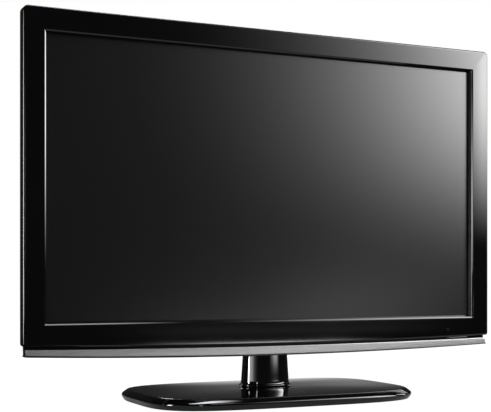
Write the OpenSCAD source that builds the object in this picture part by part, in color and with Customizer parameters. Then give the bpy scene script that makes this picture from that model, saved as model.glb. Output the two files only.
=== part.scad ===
// Flat screen television on a swivel table stand.
// Millimetres. X runs to the right seen from the front, Y to the back and Z up from the table.
// The origin is on the table, under the middle of the stand's base.

/* [Screen] */
// Width of the lit picture area
active_w = 698; // [660:1:740]
// Height of the lit picture area
active_h = 392; // [370:1:420]
// Black border between the picture and the bezel's lip
border = 2.2; // [1:0.1:4]
// Depth of the panel behind the bezel's front
recess = 8; // [6:0.5:10]

/* [Bezel] */
// Width of the bezel's face at the sides
bezel_side = 30; // [26:0.5:40]
// Height of the bezel's face above the picture
bezel_top = 31; // [27:0.5:40]
// Height of the bezel's face below the picture, at its ends
bezel_chin = 28.5; // [27:0.5:40]
// Extra drop of the bezel's lower edge at its middle
chin_bow = 5.8; // [2:0.2:10]
// Total slope of the lip, from the face to the panel
lip_run = 3.8; // [3:0.1:6]
// Width of the chamfer at the lip's front
lip_chamfer = 2; // [1:0.1:2.5]
// Depth of that chamfer
lip_chamfer_d = 1.5; // [0.8:0.1:2.5]
// Depth of the bezel from front to back
bezel_depth = 18; // [17:0.5:24]
// Inset of the bezel's sloped back edge
back_inset = 3; // [1:0.5:4]
// Depth of that slope
back_slope = 3.8; // [2:0.1:4]
// Radius of the upper outer corners
corner_r = 8.5; // [4:0.5:16]
// Radius of the lower outer corners
low_corner_r = 4; // [3.5:0.5:8]
// Radius of the rounded front edge
edge_r = 3; // [1:0.5:3]
// Wall of the moulded covers
wall = 2.5; // [2:0.1:3]

/* [Chin trim] */
// Shadow gap between the bezel and the bright trim, at the trim's ends
gap_end = 4.6; // [2:0.2:8]
// Shadow gap at the trim's middle
gap_mid = 2.7; // [0.8:0.1:4]
// Height of the bright trim at its ends
trim_end = 7.5; // [4:0.1:10]
// Height of the bright trim at its middle
trim_mid = 11.5; // [8:0.1:16]
// Distance from the bezel's side to the trim's end
trim_inset = 4.5; // [3:0.5:14]
// Slant of the trim's end
trim_taper = 1; // [0:0.5:5]
// Depth of the trim
trim_depth = 8; // [5:0.5:12]
// Setback of the trim behind the bezel's front
trim_setback = 1.2; // [0.5:0.1:3]
// Thickness of the lip below the trim
lower_lip_t = 2.2; // [1.5:0.1:3]

/* [Panel] */
// Glass beyond the picture on each side
glass_over = 7.5; // [6:0.5:9]
// Thickness of the glass cell
glass_t = 1.6; // [1.2:0.1:2.4]
// Plastic frame round the glass
panel_margin = 6; // [4:0.5:7]
// Ledge of that frame behind the glass
mid_ledge = 2; // [1.5:0.1:3]
// Steel sheet of the front frame
sheet_t = 0.8; // [0.6:0.1:1.2]
// Thickness of each optical film
film_t = 0.4; // [0.2:0.1:0.8]
// Thickness of the milky diffuser plate
diffuser_t = 2; // [1.5:0.1:3]
// Depth of the lamp chamber
lamp_space = 16.4; // [13:0.2:18]
// Number of lamps
lamp_count = 8; // [4:1:12]
// Radius of a lamp
lamp_r = 2; // [1.5:0.1:3]
// Steel sheet of the back tray
chassis_t = 1; // [0.8:0.1:1.6]

/* [Rear cover] */
// Depth of the head from front to back
head_depth = 74; // [72:1:90]
// Straight rim of the cover behind the bezel
rim_run = 7; // [4:0.5:8]
// Run of the cover's side from that rim to the shoulder
shoulder_run = 8; // [7:0.5:10]
// Inset of the shoulder
shoulder_inset = 9; // [6:0.5:9]
// Depth of the thin upper part of the cover
pan_depth = 46; // [45:0.5:52]
// Inset of the upper part's flat back
pan_inset = 48; // [36:1:60]
// Width of the electronics housing
housing_w = 604; // [600:2:640]
// Height of the electronics housing
housing_h = 330; // [325:1:345]
// Slope of the housing's sides and top
housing_slope = 12; // [8:1:13]
// Width of a vent slot
slot_w = 3; // [2:0.2:4]
// Length of a vent slot
slot_len = 24; // [16:1:28]
// Spacing of the vent slots
slot_pitch = 9; // [7:0.5:12]

/* [Wall mount] */
// Bolt spacing across
vesa_w = 200; // [190:10:200]
// Bolt spacing up and down
vesa_h = 100; // [100:5:110]
// Radius of a bolt hole
vesa_r = 2; // [1.6:0.1:3]
// Height of the pattern's middle above the picture opening's lower edge
vesa_up = 150; // [146:1:160]
// Width of a mounting bracket between its feet
bracket_w = 30; // [26:1:34]

/* [Electronics] */
// Thickness of a circuit board
board_t = 1.6; // [1:0.1:2]
// Height of the posts under the large boards
standoff_h = 6; // [5:0.5:7]
// Height of the posts under the panel boards
low_standoff_h = 4; // [3:0.5:5]
// Width of the power board
power_w = 150; // [120:1:156]
// Height of the power board
power_h = 200; // [186:1:210]
// Width of the main board
main_w = 156; // [150:1:160]
// Height of the main board
main_h = 230; // [224:1:236]
// Width of the panel's timing board
tcon_w = 120; // [90:1:140]
// Height of the panel's timing board
tcon_h = 46; // [36:1:52]
// Length of a panel edge board
source_len = 260; // [200:1:300]
// Length of a loudspeaker box
speaker_len = 142; // [110:1:144]
// Height of a loudspeaker box
speaker_h = 38; // [30:1:46]
// Depth of a loudspeaker box
speaker_d = 28; // [22:1:30]

/* [Jacks] */
// Width of the jack recess
jack_w = 116; // [112:1:120]
// Height of the jack recess
jack_h = 150; // [146:1:154]
// Depth of the jack recess
jack_recess = 12; // [10:0.5:13]
// Clearance of each jack in its cut-out
jack_clear = 0.3; // [0.2:0.1:0.6]
// Spacing of the round signal jacks
rca_pitch = 20; // [16:0.5:22]
// Radius of a round signal jack
rca_r = 4.15; // [3.8:0.05:4.4]

/* [Keys] */
// Length of a key
key_len = 11; // [8:0.5:12]
// Width of a key
key_wide = 5.4; // [4:0.2:7]
// Spacing of the keys
key_pitch = 17; // [16:0.5:19]
// Travel of a key
key_travel = 0.8; // [0.4:0.1:1.2]
// Height of a key above its shallow groove
key_proud = 1; // [0.5:0.1:1.4]
// Clearance round a key
key_clear = 0.3; // [0.2:0.05:0.5]
// Height of the lowest key above the picture opening's lower edge
key_up = 45; // [40:1:60]

/* [Stand] */
// Gap from the table to the underside of the head, at its middle
stand_h = 67.5; // [62:0.1:90]
// Distance from the base's middle forward to the bezel's front
head_forward = 37; // [30:1:45]
// Distance from the bezel's front back to the swivel axis
neck_setback = 45; // [44:0.5:47]
// Width of the neck
neck_w = 70; // [66:1:80]
// Depth of the neck
neck_d = 44; // [42:1:46]
// Flare of the neck's foot
neck_flare = 6; // [4:0.5:8]
// Gap between the neck's foot and the base
neck_gap = 0.8; // [0.5:0.1:1.5]
// Width of the steel post
post_w = 44; // [40:1:46]
// Depth of the steel post
post_d = 22; // [20:1:23]
// Wall of the steel post
post_wall = 3; // [2:0.5:4]
// Radius of the swivel shaft
shaft_r = 8; // [6:0.5:9]
// Running clearance of the shaft
shaft_fit = 0.05; // [0.02:0.01:0.1]
// Radius of the swivel disc
disc_r = 38; // [32:1:44]
// Thickness of the swivel disc
disc_t = 3; // [2.5:0.1:3.5]

/* [Base] */
// Width of the base
base_w = 428; // [380:2:480]
// Depth of the base
base_d = 268; // [230:2:310]
// Height of the base at its crown
base_h = 19; // [17:0.5:24]
// Height where the top meets the bevelled edge
base_rim = 16; // [13.5:0.1:16.5]
// Height where the upright skirt ends
base_skirt = 10.5; // [8:0.5:12]
// Inset of the bevelled edge
base_bevel = 8; // [6:0.5:14]
// Undercut of the skirt at the table
base_undercut = 4; // [1:0.5:6]
// Squareness of the base's outline
base_power = 3.9; // [3:0.1:8]
// Thickness of the steel bottom plate
plate_t = 2.5; // [2:0.1:3]
// Height of the rubber feet
foot_h = 2; // [1.6:0.1:3]
// Radius of the rubber feet
foot_r = 9; // [6:0.5:12]

/* [Hidden] */
$fn = 48;
eps = 1;
slip = 0.1;

// Screen opening and outline of the head
lip_w = active_w + 2 * border;
lip_h = active_h + 2 * border;
open_w = lip_w + 2 * lip_run;
open_h = lip_h + 2 * lip_run;
open_z = stand_h + bezel_chin + chin_bow + gap_mid + trim_mid + lower_lip_t;
screen_z = open_z + open_h / 2;
head_w = open_w + 2 * bezel_side;
half_w = head_w / 2;
head_top = open_z + open_h + bezel_top;
front_y = -head_forward;
corner_steps = 5;
bow_steps = 12;

// Depths behind the bezel's front, in the order in which the panel is stacked
d_frame = recess;
d_glass = d_frame + sheet_t;
d_mid = d_glass + glass_t;
d_film = d_mid + mid_ledge;
d_diffuser = d_film + 2 * film_t;
d_lamp = d_diffuser + diffuser_t;
d_reflector = d_lamp + lamp_space;
d_chassis = d_reflector + film_t;
d_back = d_chassis + chassis_t;
d_board = d_back + standoff_h;
d_face = d_board + board_t;
d_low_board = d_back + low_standoff_h;
d_low_face = d_low_board + board_t;

// Panel
glass_w = active_w + 2 * glass_over;
glass_h = active_h + 2 * glass_over;
module_w = glass_w + 2 * panel_margin;
module_h = glass_h + 2 * panel_margin;
frame_w = module_w + 2 * (slip + sheet_t);
frame_h = module_h + 2 * (slip + sheet_t);
frame_hide = 1.2;
film_w = active_w + 8;
film_h = active_h + 8;
glass_clear = 0.5;
lamp_pitch = active_h / lamp_count;
holder_w = 14;
lamp_len = film_w - holder_w;

// Rear cover
d_rim = bezel_depth + rim_run;
d_shoulder = d_rim + shoulder_run;
cover_inset = 0.6;
cover_step = 2;
cover_round = 1.6;
corner_grow = 0.35;
housing_z = stand_h + 8;
housing_top = housing_z + housing_h;
housing_r = 14;
vent_count = 29;
screw_in = 11;
boss_r = 4;
well_r = 6;
screw_r = 1.5;
screw_head_r = 3.5;
screw_head_t = 2.4;
d_well = bezel_depth + 4;

// Wall mount
vesa_z = open_z + vesa_up;
bracket_t = 2;
bracket_foot = 10;
bracket_over = 20;
insert_r = 5;
insert_len = 14;

// Boards and jacks
board_gap = 5;
board_x = vesa_w / 2 + bracket_w / 2 + bracket_foot + board_gap;
power_x = -board_x - power_w / 2;
main_x = board_x + main_w / 2;
board_hole_in = 6;
post_r = 3;
jack_x = main_x - 3;
jack_z = vesa_z - 26;
tray_t = 2;
d_cover_in = head_depth - wall;
d_tray = head_depth - jack_recess;
d_tray_back = d_tray - tray_t;
d_jack = d_tray + 4;
source_h = 16;
source_drop = 39;
source_z = screen_z + module_h / 2 - source_drop;
tcon_z = (housing_top + source_z - source_h / 2) / 2;
ribbon_x = 32;
ribbon_w = 22;
ribbon_in = 10;
cable_w = 16;
cable_in = 30;
cable_end = 8;
cable_drop = 21;
source_x = source_len / 2 + 10;
inlet_x = power_x;
inlet_z = vesa_z - power_h / 2 - 26;
speaker_x = board_x + speaker_len / 2;
d_speaker = d_back + 3;

// Keys
key_names = ["power", "input", "menu", "ok", "volume_down", "volume_up", "channel_down", "channel_up"];
key_z0 = open_z + key_up;
key_d = bezel_depth / 2 + 1;
key_flange_t = 1.2;
key_stem = 1.5;
key_rest_gap = 0.15;
switch_h = 3.5;
switch_w = 6;
key_wall_x = half_w - wall;
switch_x = key_wall_x - key_flange_t - key_stem - key_travel - key_rest_gap;
key_board_x = switch_x - switch_h - board_t;

// Infrared window and standby light
ir_x = half_w - 79;
ir_z = open_z - 18;
ir_r = 2.6;
light_x = half_w - 58;
light_len = 35;
light_t = 1.2;
light_drop = 0.3;
light_setback = 2;
window_flange = 1;
ir_board_w = 40;
ir_board_h = 12;

// Stand
axis_y = front_y + neck_setback;
plate_z = foot_h;
washer_z = plate_z + plate_t;
washer_t = 1;
disc_z = washer_z + washer_t;
post_z = disc_z + disc_t;
post_top = open_z + 70;
neck_z = base_h + neck_gap;
neck_top = housing_z + wall + 10;
head_plate_w = 84;
head_plate_t = 3;
nut_r = 7;
nut_h = 5;
nut_gap = 0.1;
rivet_r = 11;
rivet_h = 1.2;
hole_r = norm([post_w / 2, post_d / 2]) + 1.2;
base_steps = 56;
neck_steps = 48;
neck_power = 2.3;
cover_lift = 0.5;
base_screw_r = 1.6;
stand_screw_r = 2;

// Outlines

function arc(cx, cy, r, from, to, steps) =
    [for (k = [0 : steps]) let (a = from + (to - from) * k / steps) [cx + r * cos(a), cy + r * sin(a)]];

// How far along the bow a point lies: 1 at the middle of the chin and 0 at the sides
function bow(x) = 1 - pow(x / half_w, 2);

// Level 0 is the bezel's lower edge, 1 and 2 the bright trim's upper and lower edge, 3 the lip's lower edge
function chin_z(x, level) =
    open_z - bezel_chin - chin_bow * bow(x)
    - (level > 0 ? gap_end + (gap_mid - gap_end) * bow(x) : 0)
    - (level > 1 ? trim_end + (trim_mid - trim_end) * bow(x) : 0)
    - (level > 2 ? lower_lip_t : 0);

// Outline of the head, set in from the outside, with the lower edge of the given level
function head_outline(inset, level, top_r, low_r) =
    let (w = half_w - inset, top = head_top - inset, x0 = w - low_r)
    let (z0 = chin_z(x0, level) + inset)
    concat(
        arc(-x0, z0 + low_r, low_r, 180, 270, corner_steps),
        [for (k = [1 : bow_steps - 1]) let (x = -x0 + 2 * x0 * k / bow_steps) [x, chin_z(x, level) + inset]],
        arc(x0, z0 + low_r, low_r, 270, 360, corner_steps),
        arc(w - top_r, top - top_r, top_r, 0, 90, corner_steps),
        arc(top_r - w, top - top_r, top_r, 90, 180, corner_steps)
    );

function round_rect(x0, x1, z0, z1, r) = concat(
    arc(x0 + r, z0 + r, r, 180, 270, corner_steps),
    arc(x1 - r, z0 + r, r, 270, 360, corner_steps),
    arc(x1 - r, z1 - r, r, 0, 90, corner_steps),
    arc(x0 + r, z1 - r, r, 90, 180, corner_steps)
);

function rect_points(w, h) =
    [for (s = [[-1, -1], [1, -1], [1, 1], [-1, 1]]) [s[0] * w / 2, screen_z + s[1] * h / 2]];

// Closed curve between an ellipse (power 2) and a rectangle (high power)
function pillow(a, b, power, steps) = [
    for (k = [0 : steps - 1]) let (t = 360 * (k + 0.5) / steps, c = cos(t), s = sin(t))
    [a * sign(c) * pow(abs(c), 2 / power), b * sign(s) * pow(abs(s), 2 / power)]
];

function at_depth(outline, d) = [for (p = outline) [p[0], front_y + d, p[1]]];
function at_height(outline, z, y = 0) = [for (p = outline) [p[0], p[1] + y, z]];

// Corner places of a board, measured in from its edges
function corners(x, z, w, h, inset) =
    [for (sx = [-1, 1], sz = [-1, 1]) [x + sx * (w / 2 - inset), z + sz * (h / 2 - inset)]];

// Places of the screws that hold the rear cover to the bezel
function cover_screw_places() = concat(
    [for (s = [-1, 1], z = [open_z + 14, open_z + 215, head_top - 40]) [s * (half_w - screw_in), z]],
    [for (x = [-1, 0, 1]) [x * half_w * 0.65, head_top - screw_in]],
    [for (s = [-1, 1]) let (x = s * (half_w - 44)) [x, chin_z(x, 0) + screw_in]]
);

function power_posts() = corners(power_x, vesa_z, power_w, power_h, board_hole_in);
function main_posts() = corners(main_x, vesa_z, main_w, main_h, board_hole_in);
function timing_posts() = corners(0, tcon_z, tcon_w, tcon_h, board_hole_in);
function source_posts() = [
    for (s = [-1, 1], e = [-1, 1]) [s * source_x + e * (source_len / 2 - board_hole_in), source_z]
];
function stand_screw_places() =
    corners(0, (open_z + post_top) / 2 + 6, head_plate_w, post_top - open_z - 12, 8);
function base_screw_places() =
    [for (sx = [-1, 1], sy = [-1, 1]) [sx * base_w * 0.36, sy * base_d * 0.26]];
function foot_places() = concat(
    [for (sx = [-1, 1], sy = [-1, 1]) [sx * base_w * 0.42, sy * base_d * 0.3]],
    [for (sy = [-1, 1]) [0, sy * base_d * 0.41]]
);

// Building blocks

// Solid through a list of rings, each a flat closed outline with the same number of points
module loft(rings) {
    n = len(rings[0]);
    m = len(rings);
    low = [for (j = [0 : n - 1]) j];
    high = [for (j = [n - 1 : -1 : 0]) (m - 1) * n + j];
    sides = [
        for (k = [0 : m - 2], j = [0 : n - 1])
        let (a = k * n + j, b = k * n + (j + 1) % n)
        each [[a, a + n, b + n], [a, b + n, b]]
    ];
    polyhedron(points = [for (r = rings) each r], faces = concat([low], sides, [high]));
}

// Flat outline in X and Z, made solid between two depths
module slab(d0, d1) {
    translate([0, front_y + d1, 0]) rotate([90, 0, 0]) linear_extrude(d1 - d0) children();
}

module block(x0, x1, d0, d1, z0, z1) {
    translate([x0, front_y + d0, z0]) cube([x1 - x0, d1 - d0, z1 - z0]);
}

module rod(x, z, r, d0, d1) {
    translate([x, front_y + d1, z]) rotate([90, 0, 0]) cylinder(r = r, h = d1 - d0);
}

// Rectangle about the middle of the screen
module screen_rect(w, h) {
    translate([-w / 2, screen_z - h / 2]) square([w, h]);
}

module plate(x, z, w, h) {
    translate([x - w / 2, z - h / 2]) square([w, h]);
}

// Front

function bezel_outline(inset) =
    head_outline(inset, 0, max(corner_r - inset, 0.5), max(low_corner_r - inset, 0.5));

module bezel_skin() {
    loft(concat(
        [
            at_depth(bezel_outline(back_inset), bezel_depth),
            at_depth(bezel_outline(0), bezel_depth - back_slope)
        ],
        [
            for (a = [0 : 18 : 90]) let (inset = edge_r * (1 - cos(a)))
            at_depth(bezel_outline(inset), edge_r * (1 - sin(a)))
        ]
    ));
}

module bezel_hollow() {
    difference() {
        loft([
            at_depth(bezel_outline(back_inset + wall), bezel_depth + eps),
            at_depth(bezel_outline(wall), bezel_depth - back_slope), at_depth(bezel_outline(wall), wall)
        ]);
        loft([
            at_depth(rect_points(lip_w + 2 * wall, lip_h + 2 * wall), recess),
            at_depth(rect_points(open_w + 2 * wall, open_h + 2 * wall), 0)
        ]);
    }
}

module screen_opening() {
    rise = lip_chamfer / lip_chamfer_d * eps;
    loft([
        at_depth(rect_points(lip_w, lip_h), recess + eps),
        at_depth(rect_points(lip_w, lip_h), recess),
        at_depth(rect_points(open_w - 2 * lip_chamfer, open_h - 2 * lip_chamfer), lip_chamfer_d),
        at_depth(rect_points(open_w + 2 * rise, open_h + 2 * rise), -eps)
    ]);
}

// Shape of a key's cap, long in Z and thin in Y, made solid from x0 to x1
module key_shape(z, x0, x1, grow) {
    r = key_wide / 2 + grow;
    reach = (key_len - key_wide) / 2;
    translate([x0, front_y + key_d - r, z - reach]) cube([x1 - x0, 2 * r, 2 * reach]);
    for (s = [-1, 1])
        translate([x0, front_y + key_d, z + s * reach]) rotate([0, 90, 0]) cylinder(r = r, h = x1 - x0);
}

function key_z(i) = key_z0 + i * key_pitch;

module key_groove() {
    last = key_z(len(key_names) - 1);
    margin = key_len / 2 + 3;
    side = key_wide / 2 + 1.5;
    translate([half_w - key_proud, front_y + key_d - side, key_z0 - margin])
        cube([key_proud + eps, 2 * side, last - key_z0 + 2 * margin]);
}

module front_bezel() {
    color([0.03, 0.03, 0.035]) difference() {
        union() {
            difference() {
                bezel_skin();
                bezel_hollow();
            }
            for (p = cover_screw_places()) rod(p[0], p[1], boss_r, wall - slip, bezel_depth);
            for (s = [-1, 1]) rod(ir_x + s * (ir_board_w / 2 - 4), ir_z, 2.5, wall - slip, recess);
        }
        screen_opening();
        for (p = cover_screw_places()) rod(p[0], p[1], screw_r + slip, bezel_depth - 10, bezel_depth + eps);
        rod(ir_x, ir_z, ir_r + slip, -eps, wall + eps);
        key_groove();
        for (i = [0 : len(key_names) - 1]) key_shape(key_z(i), key_wall_x - eps, half_w + eps, key_clear);
    }
}

// Band between two lower edges of the head, from the trim's left end to its right end
module chin_band(top_level, low_level, inset, taper) {
    top_x = half_w - inset;
    low_x = top_x - taper;
    steps = 2 * bow_steps;
    polygon(concat(
        [for (k = [0 : steps]) let (x = -low_x + 2 * low_x * k / steps) [x, chin_z(x, low_level)]],
        [for (k = [steps : -1 : 0]) let (x = -top_x + 2 * top_x * k / steps) [x, chin_z(x, top_level)]]
    ));
}

module chin_trim() {
    color([0.72, 0.73, 0.75]) slab(trim_setback, trim_setback + trim_depth)
        chin_band(1, 2, trim_inset, trim_taper);
}

// Lip below the trim, with the upright web that carries the trim and closes the shadow gap
module lower_lip() {
    d_web = trim_setback + trim_depth;
    inset = trim_inset - 1;
    color([0.04, 0.04, 0.045]) {
        slab(trim_setback - 0.4, bezel_depth) chin_band(2, 3, inset, 0);
        slab(d_web, d_web + wall) chin_band(1, 2, inset, 0);
        slab(d_web, d_web + wall) translate([0, -slip]) chin_band(0, 1, inset, 0);
    }
}

module ir_window() {
    color([0.12, 0.03, 0.04]) {
        rod(ir_x, ir_z, ir_r, 0.1, wall);
        rod(ir_x, ir_z, ir_r + 1.2, wall, wall + window_flange);
    }
}

// Light pipe in the shadow gap, seated on the web
module standby_light() {
    x0 = light_x - light_len / 2;
    x1 = light_x + light_len / 2;
    top = [for (x = [x0, light_x, x1]) [x, chin_z(x, 0) - light_drop]];
    low = [for (x = [x1, light_x, x0]) [x, chin_z(x, 0) - light_drop - light_t]];
    color([0.75, 0.75, 0.78]) slab(light_setback, trim_setback + trim_depth) polygon(concat(top, low));
}

// Panel

module lcd_glass() {
    color([0.06, 0.065, 0.07]) slab(d_glass, d_mid) screen_rect(glass_w, glass_h);
}

module panel_front_frame() {
    color([0.55, 0.56, 0.58]) {
        slab(d_frame, d_glass) difference() {
            screen_rect(frame_w, frame_h);
            screen_rect(lip_w + 2 * frame_hide, lip_h + 2 * frame_hide);
        }
        slab(d_glass, bezel_depth) difference() {
            screen_rect(frame_w, frame_h);
            screen_rect(module_w + 2 * slip, module_h + 2 * slip);
        }
    }
}

module panel_mid_frame() {
    color([0.1, 0.1, 0.1]) {
        slab(d_glass, d_mid) difference() {
            screen_rect(module_w, module_h);
            screen_rect(glass_w + 2 * glass_clear, glass_h + 2 * glass_clear);
        }
        slab(d_mid, d_film) difference() {
            screen_rect(module_w, module_h);
            screen_rect(active_w + 2, active_h + 2);
        }
    }
}

module prism_film() {
    color([0.85, 0.87, 0.9]) slab(d_film, d_film + film_t) screen_rect(film_w, film_h);
}

module diffuser_film() {
    color([0.9, 0.9, 0.9]) slab(d_film + film_t, d_diffuser) screen_rect(film_w, film_h);
}

module diffuser_plate() {
    color([0.95, 0.95, 0.95]) slab(d_diffuser, d_lamp) screen_rect(film_w, film_h);
}

function lamp_z(i) = screen_z + (i - (lamp_count - 1) / 2) * lamp_pitch;

module backlight_lamps() {
    d = d_lamp + lamp_space / 2;
    color([0.97, 0.97, 0.94]) for (i = [0 : lamp_count - 1])
        translate([-lamp_len / 2, front_y + d, lamp_z(i)])
            rotate([0, 90, 0]) cylinder(r = lamp_r, h = lamp_len);
}

// White end blocks that carry the lamps and the diffuser plate's ends
module lamp_holders() {
    d = d_lamp + lamp_space / 2;
    color([0.93, 0.93, 0.92]) for (s = [-1, 1]) difference() {
        translate([s * (film_w - holder_w) / 2, 0, 0])
            slab(d_lamp, d_reflector) screen_rect(holder_w, film_h);
        for (i = [0 : lamp_count - 1])
            translate([s * lamp_len / 2, front_y + d, lamp_z(i)]) rotate([0, -90 * s, 0])
                cylinder(r = lamp_r + slip / 2, h = holder_w);
    }
}

module reflector_sheet() {
    color([0.98, 0.98, 0.98]) slab(d_reflector, d_chassis) screen_rect(film_w, film_h);
}

// Steel tray behind the lamps, with the posts that carry the boards
module back_chassis() {
    color([0.62, 0.63, 0.64]) difference() {
        union() {
            slab(d_chassis, d_back) screen_rect(module_w, module_h);
            slab(d_film, d_chassis) difference() {
                screen_rect(module_w, module_h);
                screen_rect(module_w - 2 * chassis_t, module_h - 2 * chassis_t);
            }
            for (p = concat(power_posts(), main_posts())) rod(p[0], p[1], post_r, d_back, d_board);
            for (p = concat(timing_posts(), source_posts())) rod(p[0], p[1], post_r, d_back, d_low_board);
        }
        for (p = concat(power_posts(), main_posts())) rod(p[0], p[1], screw_r + slip, d_back, d_board + eps);
        for (p = concat(timing_posts(), source_posts()))
            rod(p[0], p[1], screw_r + slip, d_back, d_low_board + eps);
        for (p = stand_screw_places()) rod(p[0], p[1], stand_screw_r + slip, d_chassis - eps, d_back + eps);
    }
}

// Boards

module board(x, z, w, h, d0, d1, holes) {
    difference() {
        slab(d0, d1) plate(x, z, w, h);
        for (p = holes) rod(p[0], p[1], screw_r + slip, d0 - eps, d1 + eps);
    }
}

// Part on a board: left edge, lower edge, width and height from the board's corner, and its own height
module chip(x, z, w, h, tall, d = d_face) {
    block(x, x + w, d - slip, d + tall, z, z + h);
}

module source_boards() {
    color([0.1, 0.35, 0.2]) for (s = [-1, 1]) {
        board(s * source_x, source_z, source_len, source_h, d_low_board, d_low_face,
            [for (p = source_posts()) if (sign(p[0]) == s) p]);
        for (k = [-2 : 2]) chip(s * source_x + k * 40 - 8, source_z - 3, 16, 6, 1.2, d_low_face);
    }
}

module timing_board() {
    color([0.1, 0.35, 0.2]) {
        board(0, tcon_z, tcon_w, tcon_h, d_low_board, d_low_face, timing_posts());
        chip(-14, tcon_z - 12, 24, 24, 1.4, d_low_face);
        chip(tcon_w / 2 - cable_in - 2, tcon_z - tcon_h / 2 + 2, cable_w + 4, 6,
            d_face - d_low_face, d_low_face);
        for (k = [0 : 3]) chip(-tcon_w / 2 + 12 + 8 * k, tcon_z - 4, 5, 8, 1.6, d_low_face);
    }
}

// Flat ribbons from the timing board up to the two edge boards
module panel_ribbons() {
    low = tcon_z + tcon_h / 2 - ribbon_in;
    high = source_z - source_h / 4;
    color([0.8, 0.7, 0.45]) for (s = [-1, 1])
        slab(d_low_face, d_low_face + film_t) plate(s * ribbon_x, (low + high) / 2, ribbon_w, high - low);
}

module power_board() {
    x0 = power_x - power_w / 2;
    z0 = vesa_z - power_h / 2;
    color([0.78, 0.66, 0.36]) {
        board(power_x, vesa_z, power_w, power_h, d_board, d_face, power_posts());
        chip(x0 + 16, z0 + 20, 38, 34, 22);
        chip(x0 + 66, z0 + 22, 44, 36, 20);
        chip(x0 + 20, z0 + 130, 36, 32, 18);
        chip(x0 + 74, z0 + 132, 40, 30, 18);
        chip(x0 + 14, z0 + 72, 70, 3, 22);
        chip(x0 + 14, z0 + 116, 70, 3, 22);
        for (k = [0 : 2]) rod(x0 + 100 + 15 * k, vesa_z - 2, 6.5, d_face - slip, d_face + 20);
        for (k = [0 : 3]) rod(x0 + 22 + 16 * k, vesa_z - 10, 5, d_face - slip, d_face + 14);
    }
}

module main_board() {
    x0 = main_x - main_w / 2;
    z1 = vesa_z + main_h / 2;
    color([0.1, 0.3, 0.16]) {
        board(main_x, vesa_z, main_w, main_h, d_board, d_face, main_posts());
        chip(x0 + 30, z1 - 52, 36, 36, 2.4);
        for (k = [0 : 1]) chip(x0 + 80 + 16 * k, z1 - 44, 11, 18, 1.2);
        chip(x0 + 116, z1 - 48, 14, 14, 1.6);
        for (k = [0 : 4]) rod(x0 + 124, z1 - 60 - 14 * k, 3, d_face - slip, d_face + 7);
    }
}

// Finned block on the main board's processor
module heat_sink() {
    x0 = main_x - main_w / 2 + 26;
    z0 = vesa_z + main_h / 2 - 56;
    w = 44;
    d0 = d_face + 2.4;
    color([0.6, 0.61, 0.63]) {
        block(x0, x0 + w, d0, d0 + 2, z0, z0 + w);
        for (k = [0 : 6]) block(x0 + 7 * k, x0 + 7 * k + 2, d0 + 2 - slip, d0 + 12, z0, z0 + w);
    }
}

// Flat cable from the main board to the timing board's connector
module signal_ribbon() {
    x1 = main_x - main_w / 2 + cable_end;
    x0 = tcon_w / 2 - cable_in;
    z0 = vesa_z + main_h / 2 - cable_drop;
    z1 = tcon_z - tcon_h / 2 + cable_end;
    color([0.75, 0.76, 0.78]) slab(d_face, d_face + film_t) polygon([
        [x0, z1], [x0, z0 - cable_w / 2], [x1, z0 - cable_w / 2], [x1, z0 + cable_w / 2],
        [x0 + cable_w, z0 + cable_w / 2], [x0 + cable_w, z1]
    ]);
}

// Wire bundle from the power board across to the main board
module power_harness() {
    wide = 10;
    z = vesa_z + vesa_h / 2 + bracket_over + 2;
    reach = board_x + 14;
    color([0.85, 0.83, 0.78]) block(-reach, reach, d_face, d_face + 3, z, z + wide);
}

// Jacks

// Places of the jacks on the tray, from its middle
rca_places = [
    for (k = [0 : 4]) [-42, 52 - rca_pitch * k],
    for (k = [0 : 2]) [-16, 52 - rca_pitch * k]
];
hdmi_places = [[24, 56], [24, 38]];
usb_place = [24, -14];
vga_place = [24, 14];
optical_place = [-16, -16];
audio_place = [-16, -44];
antenna_place = [26, -46];

module jack_at(place) {
    translate([jack_x + place[0], 0, jack_z + place[1]]) children();
}

module jack_cut(w, h) {
    block(-w / 2 - jack_clear, w / 2 + jack_clear, d_tray_back - eps, d_tray + eps,
        -h / 2 - jack_clear, h / 2 + jack_clear);
}

hdmi_size = [15.2, 6.4];
usb_size = [14.6, 7.4];
vga_size = [31, 12.6];
optical_size = [10, 10];
audio_r = 4;
antenna_r = 7;
collar_r = 5.6;

module jack_tray() {
    w = jack_w / 2 + tray_t;
    h = jack_h / 2 + tray_t;
    color([0.09, 0.09, 0.095]) difference() {
        translate([jack_x, 0, jack_z]) difference() {
            block(-w, w, d_tray_back, d_cover_in, -h, h);
            block(-jack_w / 2, jack_w / 2, d_tray, d_cover_in + eps, -jack_h / 2, jack_h / 2);
        }
        for (p = hdmi_places) jack_at(p) jack_cut(hdmi_size[0], hdmi_size[1]);
        jack_at(usb_place) jack_cut(usb_size[0], usb_size[1]);
        jack_at(vga_place) jack_cut(vga_size[0], vga_size[1]);
        jack_at(optical_place) jack_cut(optical_size[0], optical_size[1]);
        for (p = rca_places) jack_at(p) rod(0, 0, collar_r + jack_clear, d_tray_back - eps, d_tray + eps);
        jack_at(audio_place) rod(0, 0, audio_r + jack_clear, d_tray_back - eps, d_tray + eps);
        jack_at(antenna_place) rod(0, 0, antenna_r + jack_clear, d_tray_back - eps, d_tray + eps);
    }
}

// Shell of a flat digital socket, with its contact tongue
module flat_socket(size, skin, tongue, shift) {
    w = size[0] / 2;
    h = size[1] / 2;
    difference() {
        block(-w, w, d_face, d_jack - 1, -h, h);
        block(skin - w, w - skin, d_jack - 11, d_jack, skin - h, h - skin);
    }
    block(-tongue[0] / 2, tongue[0] / 2, d_jack - 11 - slip, d_jack - 2,
        shift - tongue[1] / 2, shift + tongue[1] / 2);
}

module hdmi_sockets() {
    color([0.7, 0.7, 0.7]) for (p = hdmi_places) jack_at(p) flat_socket(hdmi_size, 0.7, [11, 1.3], 0.3);
}

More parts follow.
